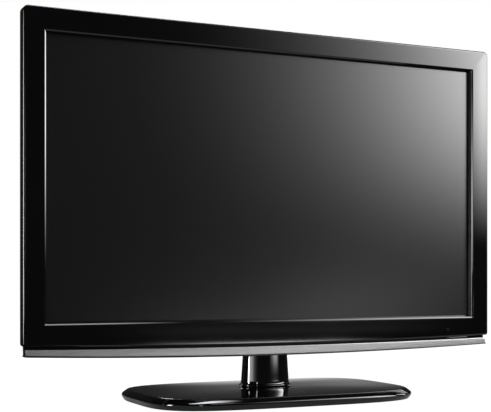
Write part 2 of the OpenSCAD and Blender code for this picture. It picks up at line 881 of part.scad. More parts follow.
module usb_socket() {
    color([0.72, 0.72, 0.72]) jack_at(usb_place) flat_socket(usb_size, 0.7, [10.5, 1.8], 1.2);
}

// Fifteen-way socket with its flange and two hexagonal posts
module vga_socket() {
    shell = [[-8.4, 4], [8.4, 4], [7.4, -4], [-7.4, -4]];
    color([0.15, 0.25, 0.6]) jack_at(vga_place) difference() {
        union() {
            block(-vga_size[0] / 2, vga_size[0] / 2, d_face, d_tray + 0.4, -vga_size[1] / 2, vga_size[1] / 2);
            slab(d_tray, d_jack) polygon(shell);
            for (s = [-1, 1]) translate([s * 12.5, front_y + d_jack, 0]) rotate([90, 0, 0])
                cylinder(r = 2.7, h = d_jack - d_tray, $fn = 6);
        }
        for (row = [-1 : 1], k = [-2 : 2]) rod(2.3 * k + 0.6 * row, 2 * row, 0.6, d_jack - 5, d_jack + eps);
    }
}

module rca_sockets() {
    color([0.8, 0.7, 0.2]) for (p = rca_places) jack_at(p) difference() {
        union() {
            block(-6.5, 6.5, d_face, d_tray_back - jack_clear, -6.5, 6.5);
            rod(0, 0, collar_r, d_tray_back - jack_clear - slip, d_tray + 0.6);
            rod(0, 0, rca_r, d_tray, d_jack);
        }
        rod(0, 0, 1.7, d_jack - 9, d_jack + eps);
    }
}

module optical_socket() {
    color([0.06, 0.06, 0.06]) jack_at(optical_place) difference() {
        block(-optical_size[0] / 2, optical_size[0] / 2, d_face, d_tray + 2,
            -optical_size[1] / 2, optical_size[1] / 2);
        block(-3.1, 3.1, d_tray - 2, d_tray + 2 + eps, -3.1, 3.1);
    }
}

module audio_socket() {
    color([0.35, 0.65, 0.35]) jack_at(audio_place) difference() {
        union() {
            block(-5.5, 5.5, d_face, d_tray_back - jack_clear, -5.5, 5.5);
            rod(0, 0, audio_r, d_tray_back - jack_clear - slip, d_tray + 1.5);
        }
        rod(0, 0, 1.8, d_tray - 12, d_tray + 1.5 + eps);
    }
}

// Coaxial aerial socket: hexagon base, barrel and white core
module antenna_socket() {
    color([0.78, 0.76, 0.68]) jack_at(antenna_place) difference() {
        union() {
            translate([0, front_y + d_tray + 0.6, 0]) rotate([90, 0, 0])
                cylinder(r = antenna_r, h = d_tray + 0.6 - d_face, $fn = 6);
            rod(0, 0, 4.75, d_tray, d_jack);
        }
        rod(0, 0, 2.6, d_jack - 3, d_jack + eps);
        rod(0, 0, 0.6, d_jack - 12, d_jack + eps);
    }
}

inlet_size = [26, 18];
inlet_pin = 4.3;
inlet_r = 4.6;
inlet_deep = 12;

// Two-pin mains inlet, seated in the rear cover
module ac_inlet() {
    color([0.05, 0.05, 0.05]) translate([inlet_x, 0, inlet_z]) {
        difference() {
            union() {
                block(-inlet_size[0] / 2, inlet_size[0] / 2, head_depth - 16, head_depth,
                    -inlet_size[1] / 2, inlet_size[1] / 2);
                block(-inlet_size[0] / 2 - 5, inlet_size[0] / 2 + 5, d_cover_in - 2, d_cover_in,
                    -inlet_size[1] / 2 - 3, inlet_size[1] / 2 + 3);
            }
            for (s = [-1, 1]) rod(s * inlet_pin, 0, inlet_r, head_depth - inlet_deep, head_depth + eps);
            block(-inlet_pin, inlet_pin, head_depth - inlet_deep, head_depth + eps,
                0.6 - inlet_r, inlet_r - 0.6);
        }
        for (s = [-1, 1]) rod(s * inlet_pin, 0, 1.2, head_depth - inlet_deep - slip, head_depth - 2.5);
    }
}

// Loudspeakers, infrared receiver and key board

// Ported box with a driver that faces down through the cover's slots
module speaker(s) {
    x = s * speaker_x;
    z = housing_z + wall;
    d_mid_box = d_speaker + speaker_d / 2;
    r = min(speaker_d, speaker_len) * 0.4;
    color([0.07, 0.07, 0.07]) difference() {
        block(x - speaker_len / 2, x + speaker_len / 2, d_speaker, d_speaker + speaker_d, z, z + speaker_h);
        for (k = [-1, 1]) translate([x + k * speaker_len * 0.22, front_y + d_mid_box, z - eps]) {
            cylinder(r = r, h = eps + 2);
            cylinder(r1 = r * 0.9, r2 = r * 0.4, h = eps + 7);
        }
        translate([x - speaker_len * 0.44, front_y + d_mid_box, z - eps]) cylinder(r = 4, h = eps + 20);
    }
}

module speaker_left() { speaker(-1); }
module speaker_right() { speaker(1); }

module ir_board() {
    color([0.1, 0.35, 0.2]) {
        slab(recess, recess + board_t) plate(ir_x, ir_z, ir_board_w, ir_board_h);
        rod(ir_x, ir_z, 2, wall + window_flange, recess + slip);
        block(ir_x - 4, ir_x + 4, recess - 3, recess + slip, ir_z - 4, ir_z + 4);
    }
}

// Upright board inside the bezel's right side, with one switch behind each key
module key_board() {
    last = key_z(len(key_names) - 1);
    color([0.1, 0.35, 0.2]) {
        translate([key_board_x, front_y + wall, key_z0 - 10])
            cube([board_t, bezel_depth - 2 - wall, last - key_z0 + 20]);
        for (i = [0 : len(key_names) - 1])
            translate([key_board_x + board_t - slip, front_y + key_d - switch_w / 2, key_z(i) - switch_w / 2])
                cube([switch_h + slip, switch_w, switch_w]);
    }
}

// Key with its cap, the flange that keeps it in the bezel and the stem that meets the switch
module key(i) {
    z = key_z(i);
    flange_x = key_wall_x - key_flange_t;
    reach = key_len / 2 + 1.5;
    side = key_wide / 2 + 1;
    color([0.05, 0.05, 0.055]) {
        key_shape(z, key_wall_x - slip, half_w, 0);
        translate([flange_x, front_y + key_d - side, z - reach]) cube([key_flange_t, 2 * side, 2 * reach]);
        translate([flange_x - key_stem, front_y + key_d, z]) rotate([0, 90, 0])
            cylinder(r = 1.5, h = key_stem + slip);
    }
}

module key_power() { key(0); }
module key_input() { key(1); }
module key_menu() { key(2); }
module key_ok() { key(3); }
module key_volume_down() { key(4); }
module key_volume_up() { key(5); }
module key_channel_down() { key(6); }
module key_channel_up() { key(7); }

// Rear cover

// Corner of the cover's outline, which steps in at the side below the bezel's lower edge
function cover_corner(x, x0, z0, z1) = [
    [x, z1 + cover_round], [x - cover_round * 0.4, z1], [x0 + cover_round * 0.4, z1 - cover_round * 0.5],
    [x0, z1 - cover_round], [x0 - cover_round * 0.2, z0 + cover_round], [x0 - cover_round, z0]
];

function cover_outline(inset, top_r) =
    let (w = half_w - back_inset - inset, top = head_top - back_inset - inset)
    let (x0 = w - cover_step, x1 = x0 - cover_round)
    let (corner = cover_corner(w, x0, chin_z(x1, 3) + inset, chin_z(half_w, 0) + inset))
    concat(
        [for (p = corner) [-p[0], p[1]]],
        [for (k = [1 : bow_steps - 1]) let (x = -x1 + 2 * x1 * k / bow_steps) [x, chin_z(x, 3) + inset]],
        [for (k = [len(corner) - 1 : -1 : 0]) corner[k]],
        arc(w - top_r, top - top_r, top_r, 0, 90, corner_steps),
        arc(top_r - w, top - top_r, top_r, 90, 180, corner_steps)
    );

function cover_ring(inset, d) =
    at_depth(cover_outline(inset, corner_r - back_inset + inset * corner_grow), d);

function housing_ring(inset, lift, d) = at_depth(
    round_rect(inset - housing_w / 2, housing_w / 2 - inset, housing_z + lift, housing_top - inset,
        housing_r), d);

module cover_outside() {
    loft([
        cover_ring(pan_inset, pan_depth), cover_ring(shoulder_inset, d_shoulder),
        cover_ring(cover_inset, d_rim), cover_ring(cover_inset, bezel_depth)
    ]);
    loft([housing_ring(housing_slope, 0, head_depth), housing_ring(0, 0, d_shoulder)]);
}

module cover_inside() {
    loft([
        cover_ring(pan_inset + wall / 2, pan_depth - wall),
        cover_ring(shoulder_inset + wall, d_shoulder - wall / 2),
        cover_ring(cover_inset + wall, d_rim - wall / 2),
        cover_ring(cover_inset + wall, bezel_depth - eps)
    ]);
    loft([housing_ring(housing_slope + wall, wall, d_cover_in), housing_ring(wall, wall, d_shoulder + wall)]);
}

module vent_row(z, d0, d1) {
    for (k = [0 : vent_count - 1])
        block((k - (vent_count - 1) / 2) * slot_pitch - slot_w / 2,
            (k - (vent_count - 1) / 2) * slot_pitch + slot_w / 2,
            d0, d1, z - slot_len / 2, z + slot_len / 2);
}

// Slots under each loudspeaker
module sound_slots() {
    count = floor(speaker_len * 0.8 / slot_pitch);
    for (s = [-1, 1], k = [0 : count - 1])
        let (x = s * speaker_x + (k - (count - 1) / 2) * slot_pitch)
        block(x - slot_w / 2, x + slot_w / 2, d_speaker + 4, d_speaker + speaker_d - 4,
            housing_z - eps, housing_z + wall + eps);
}

module neck_hole() {
    translate([0, axis_y, stand_h - eps]) linear_extrude(open_z - stand_h)
        polygon(pillow(neck_w / 2 + slip * 8, neck_d / 2 + slip * 8, neck_power, neck_steps));
}

module rear_cover() {
    color([0.06, 0.06, 0.065]) difference() {
        union() {
            difference() {
                cover_outside();
                cover_inside();
            }
            intersection() {
                cover_outside();
                for (p = cover_screw_places()) rod(p[0], p[1], well_r, bezel_depth, pan_depth + eps);
            }
        }
        for (p = cover_screw_places()) {
            rod(p[0], p[1], screw_r + slip, bezel_depth - eps, d_well + eps);
            rod(p[0], p[1], screw_head_r + 2 * slip, d_well, pan_depth + 2 * eps);
        }
        vent_row(housing_top - housing_slope - slot_len, d_cover_in - eps, head_depth + eps);
        vent_row(housing_top + slot_len, pan_depth - wall - eps, pan_depth + eps);
        sound_slots();
        neck_hole();
        translate([jack_x, 0, jack_z])
            block(-jack_w / 2, jack_w / 2, d_cover_in - eps, head_depth + eps, -jack_h / 2, jack_h / 2);
        translate([inlet_x, 0, inlet_z]) block(-inlet_size[0] / 2 - slip, inlet_size[0] / 2 + slip,
            d_cover_in - eps, head_depth + eps, -inlet_size[1] / 2 - slip, inlet_size[1] / 2 + slip);
        for (sx = [-1, 1], sz = [-1, 1])
            rod(sx * vesa_w / 2, vesa_z + sz * vesa_h / 2, insert_r + 3 * slip,
                d_cover_in - eps, head_depth + eps);
    }
}

// Steel hat bracket with two threaded bosses that reach the back of the cover
module bracket(s) {
    x = s * vesa_w / 2;
    z0 = vesa_z - vesa_h / 2 - bracket_over;
    z1 = vesa_z + vesa_h / 2 + bracket_over;
    w = bracket_w / 2;
    color([0.66, 0.67, 0.69]) difference() {
        union() {
            block(x - w, x + w, d_cover_in - bracket_t, d_cover_in, z0, z1);
            for (e = [-1, 1]) {
                block(x + e * (w - bracket_t / 2) - bracket_t / 2,
                    x + e * (w - bracket_t / 2) + bracket_t / 2,
                    d_back, d_cover_in, z0, z1);
                block(x + e * (w + bracket_foot / 2) - bracket_foot / 2 - slip,
                    x + e * (w + bracket_foot / 2) + bracket_foot / 2, d_back, d_back + bracket_t, z0, z1);
            }
            for (e = [-1, 1]) rod(x, vesa_z + e * vesa_h / 2, insert_r, head_depth - insert_len, head_depth);
        }
        for (e = [-1, 1])
            rod(x, vesa_z + e * vesa_h / 2, vesa_r, head_depth - insert_len - eps, head_depth + eps);
    }
}

module bracket_left() { bracket(-1); }
module bracket_right() { bracket(1); }

// Fasteners

module cover_screws() {
    color([0.2, 0.2, 0.21]) for (p = cover_screw_places()) {
        rod(p[0], p[1], screw_r, bezel_depth - 9, d_well + slip);
        rod(p[0], p[1], screw_head_r, d_well, d_well + screw_head_t);
    }
}

module board_screw(p, face, deep) {
    rod(p[0], p[1], screw_r, face - board_t - deep, face + slip);
    rod(p[0], p[1], screw_head_r - 0.7, face, face + screw_head_t);
}

module board_screws() {
    color([0.75, 0.75, 0.76]) {
        for (p = concat(power_posts(), main_posts())) board_screw(p, d_face, standoff_h - eps);
        for (p = concat(timing_posts(), source_posts())) board_screw(p, d_low_face, low_standoff_h - eps);
    }
}

module stand_screws() {
    color([0.25, 0.25, 0.26]) for (p = stand_screw_places()) {
        rod(p[0], p[1], stand_screw_r, d_chassis, d_back + head_plate_t + slip);
        rod(p[0], p[1], 2 * stand_screw_r, d_back + head_plate_t, d_back + head_plate_t + 2.5);
    }
}

// Stand

module upright(w, d, z0, z1) {
    translate([-w / 2, axis_y - d / 2, z0]) cube([w, d, z1 - z0]);
}

// Steel post with the swivel disc at its foot and the plate that bolts to the panel's tray
module neck_post() {
    inner_w = post_w - 2 * post_wall;
    inner_d = post_d - 2 * post_wall;
    plate_low = open_z + 12;
    color([0.4, 0.41, 0.42]) difference() {
        union() {
            translate([0, axis_y, disc_z]) cylinder(r = disc_r, h = disc_t);
            upright(post_w, post_d, post_z - slip, post_top);
            block(-head_plate_w / 2, head_plate_w / 2, d_back, d_back + head_plate_t, plate_low, post_top);
        }
        upright(inner_w, inner_d, post_z, post_top + eps);
        translate([0, axis_y, disc_z - eps]) cylinder(r = shaft_r + shaft_fit, h = disc_t + 2 * eps);
        for (p = stand_screw_places())
            rod(p[0], p[1], stand_screw_r + slip, d_back - eps, d_back + head_plate_t + eps);
    }
}

function neck_ring(grow, z) =
    at_height(pillow(neck_w / 2 + grow, neck_d / 2 + grow, neck_power, neck_steps), z, axis_y);

module neck_skin(shrink) {
    loft([
        neck_ring(neck_flare - shrink, neck_z - (shrink > 0 ? eps : 0)),
        neck_ring(neck_flare - shrink, neck_z + 1.6),
        neck_ring(2.8 - shrink, neck_z + 3.4),
        neck_ring(1.6 - shrink, neck_z + 12),
        neck_ring(-shrink, neck_top + (shrink > 0 ? eps : 0))
    ]);
}

// Half of the neck's cover, on the front (-1) or the back (1) of the seam
module neck_half(s) {
    rib_t = 2;
    reach = neck_w + neck_d;
    color([0.03, 0.03, 0.035]) intersection() {
        difference() {
            union() {
                difference() {
                    neck_skin(0);
                    neck_skin(wall);
                }
                intersection() {
                    neck_skin(0);
                    for (z = [neck_z + 18, neck_z + 42]) upright(2 * reach, 2 * reach, z, z + rib_t);
                }
            }
            upright(post_w, post_d, neck_z - 2 * eps, neck_top + 2 * eps);
        }
        translate([-reach, axis_y + (s - 1) / 2 * reach, 0]) cube([2 * reach, reach, neck_top + 2 * eps]);
    }
}

module neck_front_cover() { neck_half(-1); }
module neck_rear_cover() { neck_half(1); }

// Base

function base_ring(inset, z) =
    at_height(pillow(base_w / 2 - inset, base_d / 2 - inset, base_power, base_steps), z);

// Crown of the base: rings that shrink from the rim to the middle, each on a parabola
function crown_rings(thin) = [
    for (s = [0.84, 0.66, 0.46, 0.24, 0.04])
    at_height(pillow((base_w / 2 - base_bevel) * s, (base_d / 2 - base_bevel) * s, base_power, base_steps),
        base_rim + (base_h - base_rim) * (1 - s * s) - thin)
];

module base_skin() {
    loft(concat([
        base_ring(base_undercut, cover_lift), base_ring(base_undercut * 0.3, base_skirt * 0.4),
        base_ring(0, base_skirt * 0.7), base_ring(base_bevel * 0.06, base_skirt * 0.9),
        base_ring(base_bevel * 0.2, base_skirt + 0.4), base_ring(base_bevel, base_rim)
    ], crown_rings(0)));
}

module base_hollow() {
    loft(concat([
        base_ring(base_undercut + wall, cover_lift - eps), base_ring(base_undercut + wall, washer_z + slip),
        base_ring(base_bevel * 0.2 + wall, base_skirt - wall / 2),
        base_ring(base_bevel + wall / 2, base_rim - wall)
    ], crown_rings(wall)));
}

module base_cover() {
    color([0.03, 0.03, 0.035]) difference() {
        union() {
            difference() {
                base_skin();
                base_hollow();
            }
            intersection() {
                base_skin();
                for (p = base_screw_places())
                    translate([p[0], p[1], washer_z]) cylinder(r = boss_r + 1, h = base_h);
            }
        }
        translate([0, axis_y, base_rim - wall]) cylinder(r = hole_r, h = base_h);
        for (p = base_screw_places())
            translate([p[0], p[1], washer_z - eps]) cylinder(r = base_screw_r + slip, h = eps + 5);
    }
}

module base_plate() {
    inset = base_undercut + wall + 4 * slip;
    color([0.2, 0.2, 0.21]) difference() {
        translate([0, 0, plate_z]) linear_extrude(plate_t)
            polygon(pillow(base_w / 2 - inset, base_d / 2 - inset, base_power, base_steps));
        translate([0, axis_y, plate_z - eps]) cylinder(r = shaft_r + shaft_fit, h = plate_t + 2 * eps);
        for (p = base_screw_places())
            translate([p[0], p[1], plate_z - eps]) cylinder(r = base_screw_r + slip, h = plate_t + 2 * eps);
    }
}

// Pivot riveted into the bottom plate
module swivel_shaft() {
    top = post_z + nut_gap + nut_h + 1;
    color([0.6, 0.6, 0.62]) translate([0, axis_y, 0]) {
        translate([0, 0, plate_z - rivet_h]) cylinder(r = rivet_r, h = rivet_h);
        translate([0, 0, plate_z - slip]) cylinder(r = shaft_r, h = post_z + nut_gap / 2 - plate_z + slip);
        translate([0, 0, post_z]) cylinder(r = shaft_r * 0.6, h = top - post_z);
    }
}

module swivel_washer() {
    color([0.85, 0.85, 0.82]) translate([0, axis_y, washer_z]) difference() {
        cylinder(r = disc_r - 1, h = washer_t);
        translate([0, 0, -eps]) cylinder(r = shaft_r + shaft_fit, h = washer_t + 2 * eps);
    }
}

module swivel_nut() {
    color([0.7, 0.7, 0.71]) translate([0, axis_y, post_z + nut_gap]) difference() {
        cylinder(r = nut_r, h = nut_h, $fn = 6);
        translate([0, 0, -eps]) cylinder(r = shaft_r * 0.6 + shaft_fit, h = nut_h + 2 * eps);
    }
}

module base_screws() {
    color([0.3, 0.3, 0.31]) for (p = base_screw_places()) translate([p[0], p[1], plate_z]) {
        translate([0, 0, -rivet_h]) cylinder(r = screw_head_r, h = rivet_h);
        translate([0, 0, -slip]) cylinder(r = base_screw_r, h = plate_t + 4.5);
    }
}

module rubber_feet() {
    color([0.12, 0.12, 0.12]) for (p = foot_places())
        translate([p[0], p[1], 0]) cylinder(r = foot_r, h = foot_h);
}

front_bezel();
chin_trim();
lower_lip();
ir_window();
standby_light();
lcd_glass();
panel_front_frame();
panel_mid_frame();
prism_film();
diffuser_film();
diffuser_plate();
backlight_lamps();
lamp_holders();
reflector_sheet();
back_chassis();
source_boards();
timing_board();
panel_ribbons();
power_board();
main_board();
heat_sink();
signal_ribbon();
power_harness();
jack_tray();
hdmi_sockets();
usb_socket();
vga_socket();
rca_sockets();
optical_socket();
audio_socket();
antenna_socket();
ac_inlet();
speaker_left();
speaker_right();
ir_board();
key_board();
key_power();
key_input();
key_menu();
key_ok();
key_volume_down();
key_volume_up();
key_channel_down();
key_channel_up();
rear_cover();
bracket_left();
bracket_right();
cover_screws();
board_screws();
neck_post();
stand_screws();
neck_front_cover();
neck_rear_cover();
base_cover();
base_plate();
swivel_shaft();
swivel_washer();
swivel_nut();
base_screws();
rubber_feet();
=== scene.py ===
"""Looks of a flat screen television on a swivel stand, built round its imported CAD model.

Metres, in the CAD model's frame: X runs to the right seen from the front, Y to the back and Z up
from the table. The mesh builders below work in millimetres and scale at the end.
"""

import math

import bmesh
import bpy
import numpy as np
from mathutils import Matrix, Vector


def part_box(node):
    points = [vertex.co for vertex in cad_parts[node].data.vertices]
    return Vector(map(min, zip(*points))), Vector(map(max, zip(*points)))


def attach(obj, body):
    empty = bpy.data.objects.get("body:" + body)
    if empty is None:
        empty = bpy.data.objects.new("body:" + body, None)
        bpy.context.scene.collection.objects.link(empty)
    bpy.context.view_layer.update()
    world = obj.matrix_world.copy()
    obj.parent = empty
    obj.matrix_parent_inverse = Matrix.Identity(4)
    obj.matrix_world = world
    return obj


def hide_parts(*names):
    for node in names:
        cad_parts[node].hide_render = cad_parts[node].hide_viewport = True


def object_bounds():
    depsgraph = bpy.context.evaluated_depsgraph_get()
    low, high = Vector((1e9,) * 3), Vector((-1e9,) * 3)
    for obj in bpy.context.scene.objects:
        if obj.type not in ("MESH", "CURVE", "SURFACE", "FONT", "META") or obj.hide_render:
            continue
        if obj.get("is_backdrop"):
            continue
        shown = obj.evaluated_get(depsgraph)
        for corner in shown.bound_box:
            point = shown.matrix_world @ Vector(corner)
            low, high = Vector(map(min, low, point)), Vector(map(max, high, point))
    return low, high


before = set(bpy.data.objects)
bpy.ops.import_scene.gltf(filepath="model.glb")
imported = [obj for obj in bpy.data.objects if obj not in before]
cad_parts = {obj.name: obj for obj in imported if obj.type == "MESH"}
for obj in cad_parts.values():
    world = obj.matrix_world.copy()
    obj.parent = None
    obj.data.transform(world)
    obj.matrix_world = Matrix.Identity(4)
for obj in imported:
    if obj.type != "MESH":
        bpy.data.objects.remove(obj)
cad_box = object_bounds()

MM = 0.001

# Sizes shared with the CAD model, in millimetres
BEZEL_DEPTH = 18.0
EDGE_R = 3.0
BACK_INSET = 3.0
WALL = 2.5
CORNER_R = 8.5
LOW_CORNER_R = 4.0
BEZEL_SIDE = 30.0
BEZEL_TOP = 31.0
BEZEL_CHIN = 28.5
CHIN_BOW = 5.8
LIP_RUN = 3.8
LIP_CHAMFER = 2.0
LIP_CHAMFER_D = 1.5
RECESS = 8.0
GAP_END = 4.6
GAP_MID = 2.7
TRIM_END = 7.5
TRIM_MID = 11.5
TRIM_INSET = 4.5
TRIM_TAPER = 1.0
TRIM_DEPTH = 8.0
TRIM_SETBACK = 1.2
LIP_T = 2.2
LIP_INSET = 3.5
ACTIVE_W = 698.0
ACTIVE_H = 392.0
NECK_SETBACK = 45.0
NECK_W = 70.0
NECK_D = 44.0
NECK_FLARE = 6.0
NECK_POWER = 2.3
BASE_POWER = 3.9
BASE_SKIRT = 10.5
BASE_RIM = 16.0
BASE_BEVEL = 8.0
BASE_UNDERCUT = 4.0
BASE_LIFT = 0.5
KEY_LEN = 11.0
KEY_WIDE = 5.4
KEY_CLEAR = 0.3
KEY_PROUD = 1.0
KEY_NAMES = ["power", "input", "menu", "ok", "volume_down", "volume_up", "channel_down", "channel_up"]

# Sizes that only the scene's own pieces use, in millimetres. The bezel's back edge slopes over 3.8 mm
# in the CAD model: the shorter slope here fits the photograph's outline.
BACK_SLOPE = 0.8
LEAST_R = 0.4
SCREEN_R = 0.5
SCREEN_R_GROWTH = 0.25
FACE_BAND = 1.2
FOOT_RISE = 0.3
FOOT_GAP = 0.05
GROOVE_SIDE = 1.5
GROOVE_END = 3.0
CUT_PAST = 5.0
WINDOW_HOLE_R = 2.7
WINDOW_CUT_PAST = 2.0
TRIM_END_R = 0.5
LIP_PROUD = 0.4
LIP_END_R = 0.8
NOSE_R = 0.4
NOSE_RUN = 3.0
SEAM_GAP = 0.15
SEAM_FADE = 3.0
SEAM_TUCK = 0.5
SWIVEL_HOLE_R = 25.8

# Angles in degrees above which an edge is shaded sharp
BEZEL_SHARP = 24
SHARP = 40


def node_box(node):
    """A CAD node's lowest and highest corner, in millimetres."""
    low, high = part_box(node)
    return np.array(low) / MM, np.array(high) / MM


bezel_low, bezel_high = node_box("front_bezel")
FRONT_Y = bezel_low[1]
HALF_W = bezel_high[0]
HEAD_TOP = bezel_high[2]
OPEN_TOP = HEAD_TOP - BEZEL_TOP
OPEN_HALF_W = HALF_W - BEZEL_SIDE
OPEN_Z = bezel_low[2] + BEZEL_CHIN + CHIN_BOW
SCREEN_Z = (OPEN_Z + OPEN_TOP) / 2
AXIS_Y = FRONT_Y + NECK_SETBACK

# How finely the curves are cut
CORNER_STEPS = 10
LONG_STEPS = 72
SHORT_STEPS = 40
NECK_STEPS = 64
BASE_STEPS = 200
PILLOW_SAMPLES = 4001
CORNER_CUT = 0.25


# Outlines, as arrays of points


def arc(cx, cz, radius, start, end, steps=CORNER_STEPS):
    turn = np.radians(np.linspace(start, end, steps + 1))
    return np.column_stack([cx + radius * np.cos(turn), cz + radius * np.sin(turn)])


def between(start, end, steps):
    """The points strictly between two ends of a straight run."""
    share = np.linspace(0, 1, steps + 1)[1:-1, None]
    return np.array(start) + (np.array(end) - np.array(start)) * share


def bow(x):
    """1 at the middle of the chin and 0 at the sides."""
    return 1 - (x / HALF_W) ** 2


def chin_z(x, level):
    """Level 0 is the bezel's lower edge, 1 and 2 the trim's upper and lower edge, 3 the lip's lower edge."""
    z = OPEN_Z - BEZEL_CHIN - CHIN_BOW * bow(x)
    if level > 0:
        z = z - GAP_END - (GAP_MID - GAP_END) * bow(x)
    if level > 1:
        z = z - TRIM_END - (TRIM_MID - TRIM_END) * bow(x)
    if level > 2:
        z = z - LIP_T
    return z


def head_outline(inset):
    """Outside of the bezel, set in by a distance, with the bowed lower edge."""
    w = HALF_W - inset
    top = HEAD_TOP - inset
    r = max(CORNER_R - inset, LEAST_R)
    low_r = max(LOW_CORNER_R - inset, LEAST_R)
    x0 = w - low_r
    z0 = chin_z(x0, 0) + inset
    run = np.linspace(-x0, x0, LONG_STEPS + 1)[1:-1]
    return np.vstack([
        arc(-x0, z0 + low_r, low_r, 180, 270),
        np.column_stack([run, chin_z(run, 0) + inset]),
        arc(x0, z0 + low_r, low_r, 270, 360),
        between((w, z0 + low_r), (w, top - r), SHORT_STEPS),
        arc(w - r, top - r, r, 0, 90),
        between((w - r, top), (r - w, top), LONG_STEPS),
        arc(r - w, top - r, r, 90, 180),
        between((-w, top - r), (-w, z0 + low_r), SHORT_STEPS),
    ])


def screen_outline(grow):
    """The lip's inner edge, grown outward, with as many points as the head's outline."""
    w = OPEN_HALF_W - LIP_RUN + grow
    low = OPEN_Z + LIP_RUN - grow
    top = OPEN_TOP - LIP_RUN + grow
    r = SCREEN_R + SCREEN_R_GROWTH * grow
    return np.vstack([
        arc(r - w, low + r, r, 180, 270),
        between((r - w, low), (w - r, low), LONG_STEPS),
        arc(w - r, low + r, r, 270, 360),
        between((w, low + r), (w, top - r), SHORT_STEPS),
        arc(w - r, top - r, r, 0, 90),
        between((w - r, top), (r - w, top), LONG_STEPS),
        arc(r - w, top - r, r, 90, 180),
        between((-w, top - r), (-w, low + r), SHORT_STEPS),
    ])


def pillow(a, b, power, steps, start=0.0, end=360.0):
    """Curve between an ellipse (power 2) and a rectangle (high power), cut in runs of equal length."""
    turn = np.radians(np.linspace(start, end, PILLOW_SAMPLES))
    x = a * np.sign(np.cos(turn)) * np.abs(np.cos(turn)) ** (2 / power)
    y = b * np.sign(np.sin(turn)) * np.abs(np.sin(turn)) ** (2 / power)
    walked = np.concatenate([[0], np.cumsum(np.hypot(np.diff(x), np.diff(y)))])
    count = steps + 1 if end - start < 360 else steps
    stops = np.arange(count) / steps * walked[-1]
    return np.column_stack([np.interp(stops, walked, x), np.interp(stops, walked, y)])


def soften(points, rounds):
    """Cuts the corners of an open line of points, keeping its two ends."""
    line = np.array(points, float)
    for _ in range(rounds):
        near = line[:-1] * (1 - CORNER_CUT) + line[1:] * CORNER_CUT
        far = line[:-1] * CORNER_CUT + line[1:] * (1 - CORNER_CUT)
        line = np.vstack([line[:1], np.column_stack([near, far]).reshape(-1, line.shape[1]), line[-1:]])
    return line


def flat_run(start, end, trim):
    """Points of a straight run that stays straight when its corners are softened."""
    share = np.array([trim, 2 * trim, 1 - 2 * trim, 1 - trim])[:, None]
    return (np.array(start) + (np.array(end) - np.array(start)) * share).tolist()


def at_depth(outline, depth):
    return np.column_stack([outline[:, 0], np.full(len(outline), FRONT_Y + depth), outline[:, 1]])


def at_height(outline, z, y=0.0):
    return np.column_stack([outline[:, 0], outline[:, 1] + y, np.full(len(outline), z)])


# Meshes


def add_mesh(name, points, faces):
    mesh = bpy.data.meshes.new(name)
    mesh.from_pydata((np.array(points) * MM).tolist(), [], faces)
    work = bmesh.new()
    work.from_mesh(mesh)
    bmesh.ops.recalc_face_normals(work, faces=work.faces)
    work.to_mesh(mesh)
    work.free()
    obj = bpy.data.objects.new(name, mesh)
    bpy.context.scene.collection.objects.link(obj)
    return obj


def add_loft(name, rings, ring_shaped=False):
    """Skin over closed rings of equal point counts: capped at its ends, or joined end to end as a ring."""
    count = len(rings[0])
    faces = []
    last = len(rings) if ring_shaped else len(rings) - 1
    for k in range(last):
        a = k * count
        b = (k + 1) % len(rings) * count
        faces += [(a + i, a + (i + 1) % count, b + (i + 1) % count, b + i) for i in range(count)]
    if not ring_shaped:
        faces.append(tuple(range(count)))
        faces.append(tuple(range((len(rings) - 1) * count, len(rings) * count)))
    return add_mesh(name, np.vstack(rings), faces)


def carve(obj, cutters):
    """Takes the cutters out of a mesh and throws them away."""
    for cutter in cutters:
        step = obj.modifiers.new("carve", "BOOLEAN")
        step.operation = "DIFFERENCE"
        step.solver = "EXACT"
        step.object = cutter
    graph = bpy.context.evaluated_depsgraph_get()
    carved = bpy.data.meshes.new_from_object(obj.evaluated_get(graph))
    obj.modifiers.clear()
    obj.data = carved
    for cutter in cutters:
        bpy.data.objects.remove(cutter)


def dress(obj, body, node, material, sharp_angle):
    """Smooths a mesh up to its sharp edges and puts it in a CAD node's place."""
    obj.data.shade_smooth()
    obj.data.set_sharp_from_angle(angle=math.radians(sharp_angle))
    obj.data.materials.clear()
    obj.data.materials.append(material)
    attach(obj, body)
    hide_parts(node)


# Node helpers for materials


